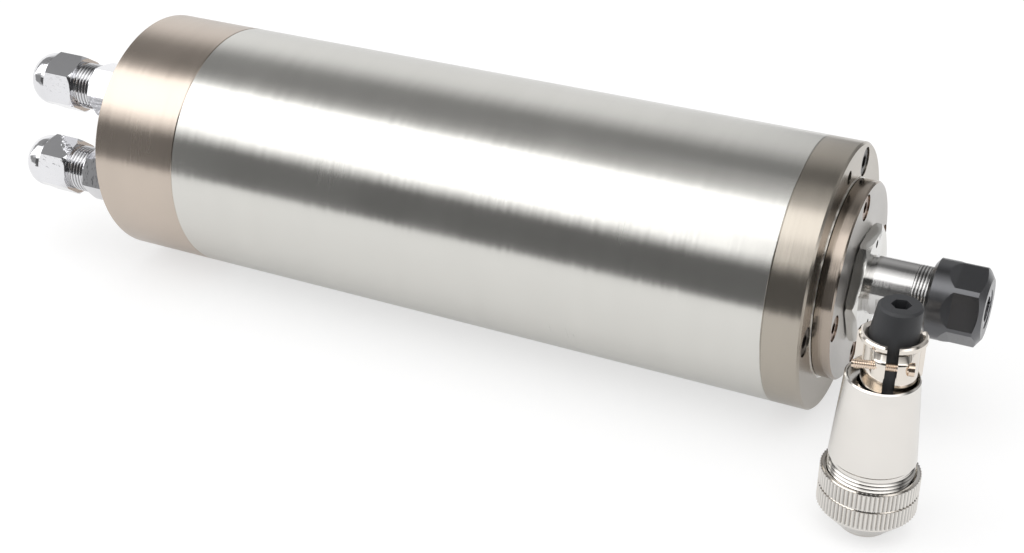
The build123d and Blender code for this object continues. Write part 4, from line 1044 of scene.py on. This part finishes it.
# ---------------------------------------------------------------- cable clamp
# A split clamp of plated sheet brass: a half-round back, and in front a collar with a rolled rim,
# whose two cheeks are pressed forward to meet at the screw.
clamp_colour = (0.84, 0.78, 0.71)
clamp_finish = turned_finish("Clamp nickel", clamp_colour, roughness=0.10, rings=700.0, depth=0.03,
                             uneven=0.04, stain=0.10, centre=plug_centre, upright=True)
clamp_foot = table_height + 0.0372
clamp_rim = table_height + 0.0488
collar_inner = 0.00522
collar_outer = 0.00580
rim_outer = 0.00700
back_inner, back_outer = 0.00550, 0.00708
back_offset = 0.00088
back_foot = table_height + 0.03846
back_rim = table_height + 0.0479
screw_level = table_height + 0.0448
cheek_reach = 0.0030
slit_half = 0.0012
cheek_full, cheek_gone = math.radians(22), math.radians(50)
cheek_above, cheek_above_gone = 0.0010, 0.0034
cheek_below, cheek_below_gone = 0.0022, 0.0034
slit_way = math.radians(-77)
collar_from, collar_to, collar_steps = 12, 104, 48
back_from, back_to, back_steps = 98, 262, 60
rim_height = 0.0024
wall_height = clamp_rim - rim_height - clamp_foot
wall_steps = 36
clamp_sharp = math.radians(32)


def fade(value, full, gone):
    """One up to a first value, then smoothly down to nothing at a second."""
    share = min(1.0, max(0.0, (value - full) / (gone - full)))
    return 1.0 - share * share * (3.0 - 2.0 * share)


def cheek_radius(turn, height):
    """How far the collar's outside stands off, pressed forward into a lug near the slit."""
    across = fade(turn, cheek_full, cheek_gone)
    along = fade(height, screw_level + cheek_above, screw_level + cheek_above_gone)
    along *= fade(-height, cheek_below - screw_level, cheek_below_gone - screw_level)
    return collar_outer + cheek_reach * across * along


def add_loft(work, rings):
    """Closed shell through rings of points, with a flat end on each side."""
    made = [[work.verts.new(point) for point in ring] for ring in rings]
    count = len(made[0])
    for ring, following in zip(made, made[1:]):
        for corner in range(count):
            work.faces.new((ring[corner], ring[(corner + 1) % count],
                            following[(corner + 1) % count], following[corner]))
    work.faces.new(made[0])
    work.faces.new(list(reversed(made[-1])))


def clamp_point(turn, radius, height, offset):
    """A point round the plug, turned on from the slit and set over to the side of the lean."""
    way = slit_way + turn
    return (plug_centre[0] + offset * lean_way.x + radius * math.cos(way),
            plug_centre[1] + offset * lean_way.y + radius * math.sin(way), height)


rolled_rim = [
    (rim_outer - 0.0003, clamp_rim - 0.0016),
    (rim_outer, clamp_rim - 0.0013),
    (rim_outer, clamp_rim - 0.0005),
    (rim_outer - 0.0003, clamp_rim - 0.0001),
    (rim_outer - 0.0007, clamp_rim),
    (collar_inner + 0.0005, clamp_rim - 0.0003),
    (collar_inner, clamp_rim - 0.0008),
    (collar_inner, clamp_foot),
]
back_wall = [
    (back_inner, back_foot),
    (back_outer - 0.0002, back_foot),
    (back_outer, back_foot + 0.0002),
    (back_outer, back_rim - 0.0003),
    (back_outer - 0.0003, back_rim),
    (back_inner, back_rim),
]
clamp_mesh = bpy.data.meshes.new("split_clamp")
work = bmesh.new()
for side in (-1, 1):
    rings = []
    for number in range(collar_steps + 1):
        share = number / collar_steps
        turn = math.radians(collar_from + (collar_to - collar_from) * share)
        outline = []
        for step in range(wall_steps + 1):
            height = clamp_foot + wall_height * step / wall_steps
            outline.append((cheek_radius(turn, height), height))
        ring = []
        for radius, height in outline + rolled_rim:
            at_slit = math.asin(slit_half / radius)
            turned = side * ((1 - share) * at_slit + share * math.radians(collar_to))
            ring.append(clamp_point(turned, radius, height, lean_offset))
        rings.append(ring)
    add_loft(work, rings)
rings = []
for number in range(back_steps + 1):
    turn = math.radians(back_from + (back_to - back_from) * number / back_steps)
    rings.append([clamp_point(turn, radius, height, back_offset) for radius, height in back_wall])
add_loft(work, rings)
bmesh.ops.recalc_face_normals(work, faces=work.faces)
work.to_mesh(clamp_mesh)
work.free()
clamp_mesh.shade_smooth()
clamp_mesh.set_sharp_from_angle(angle=clamp_sharp)
clamp_mesh.materials.append(clamp_finish)
clamp = bpy.data.objects.new("split_clamp", clamp_mesh)
scene.collection.objects.link(clamp)
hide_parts("plug_cable_clamp")
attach(clamp, "plug")

# ---------------------------------------------------------------- clamp screw
# A small brass screw across the slit, with a round slotted head at one end and a long threaded
# tail at the other.
screw_turn = math.radians(13)
screw_way = Vector((math.cos(screw_turn), math.sin(screw_turn), 0.0))
screw_tail_from = -0.0050
screw_tail_more = 0.0013
screw_brass_colour = (0.80, 0.66, 0.54)
screw_brass = turned_finish("Screw brass", screw_brass_colour, roughness=0.16, rings=900.0,
                            depth=0.03)
screw = leaned_copy("plug_clamp_screw", "clamp_screw", screw_brass, 0.0)
screw_middle = Vector((plug_centre[0], plug_centre[1], 0.0)) + lean_way * lean_offset
for vertex in screw.data.vertices:
    if (vertex.co - screw_middle).dot(screw_way) < screw_tail_from:
        vertex.co -= screw_way * screw_tail_more
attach(screw, "plug")
screw_axis_out = 0.0074
screw_core = 0.00078
screw_ridge = 0.00017
screw_pitch = 0.00045
screw_thread_from = 0.0012
screw_thread_to = -0.0078
screw_start = (screw_middle + screw_way * screw_thread_from
               + Vector((screw_way.y, -screw_way.x, 0.0)) * screw_axis_out
               + Vector((0.0, 0.0, screw_level)))
screw_turns = (screw_thread_from - screw_thread_to) / screw_pitch
screw_thread = thread("clamp_screw_thread", -screw_way, screw_start, screw_core, screw_ridge,
                      screw_pitch, screw_turns, end_turns=0.5, finish=screw_brass)
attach(screw_thread, "plug")
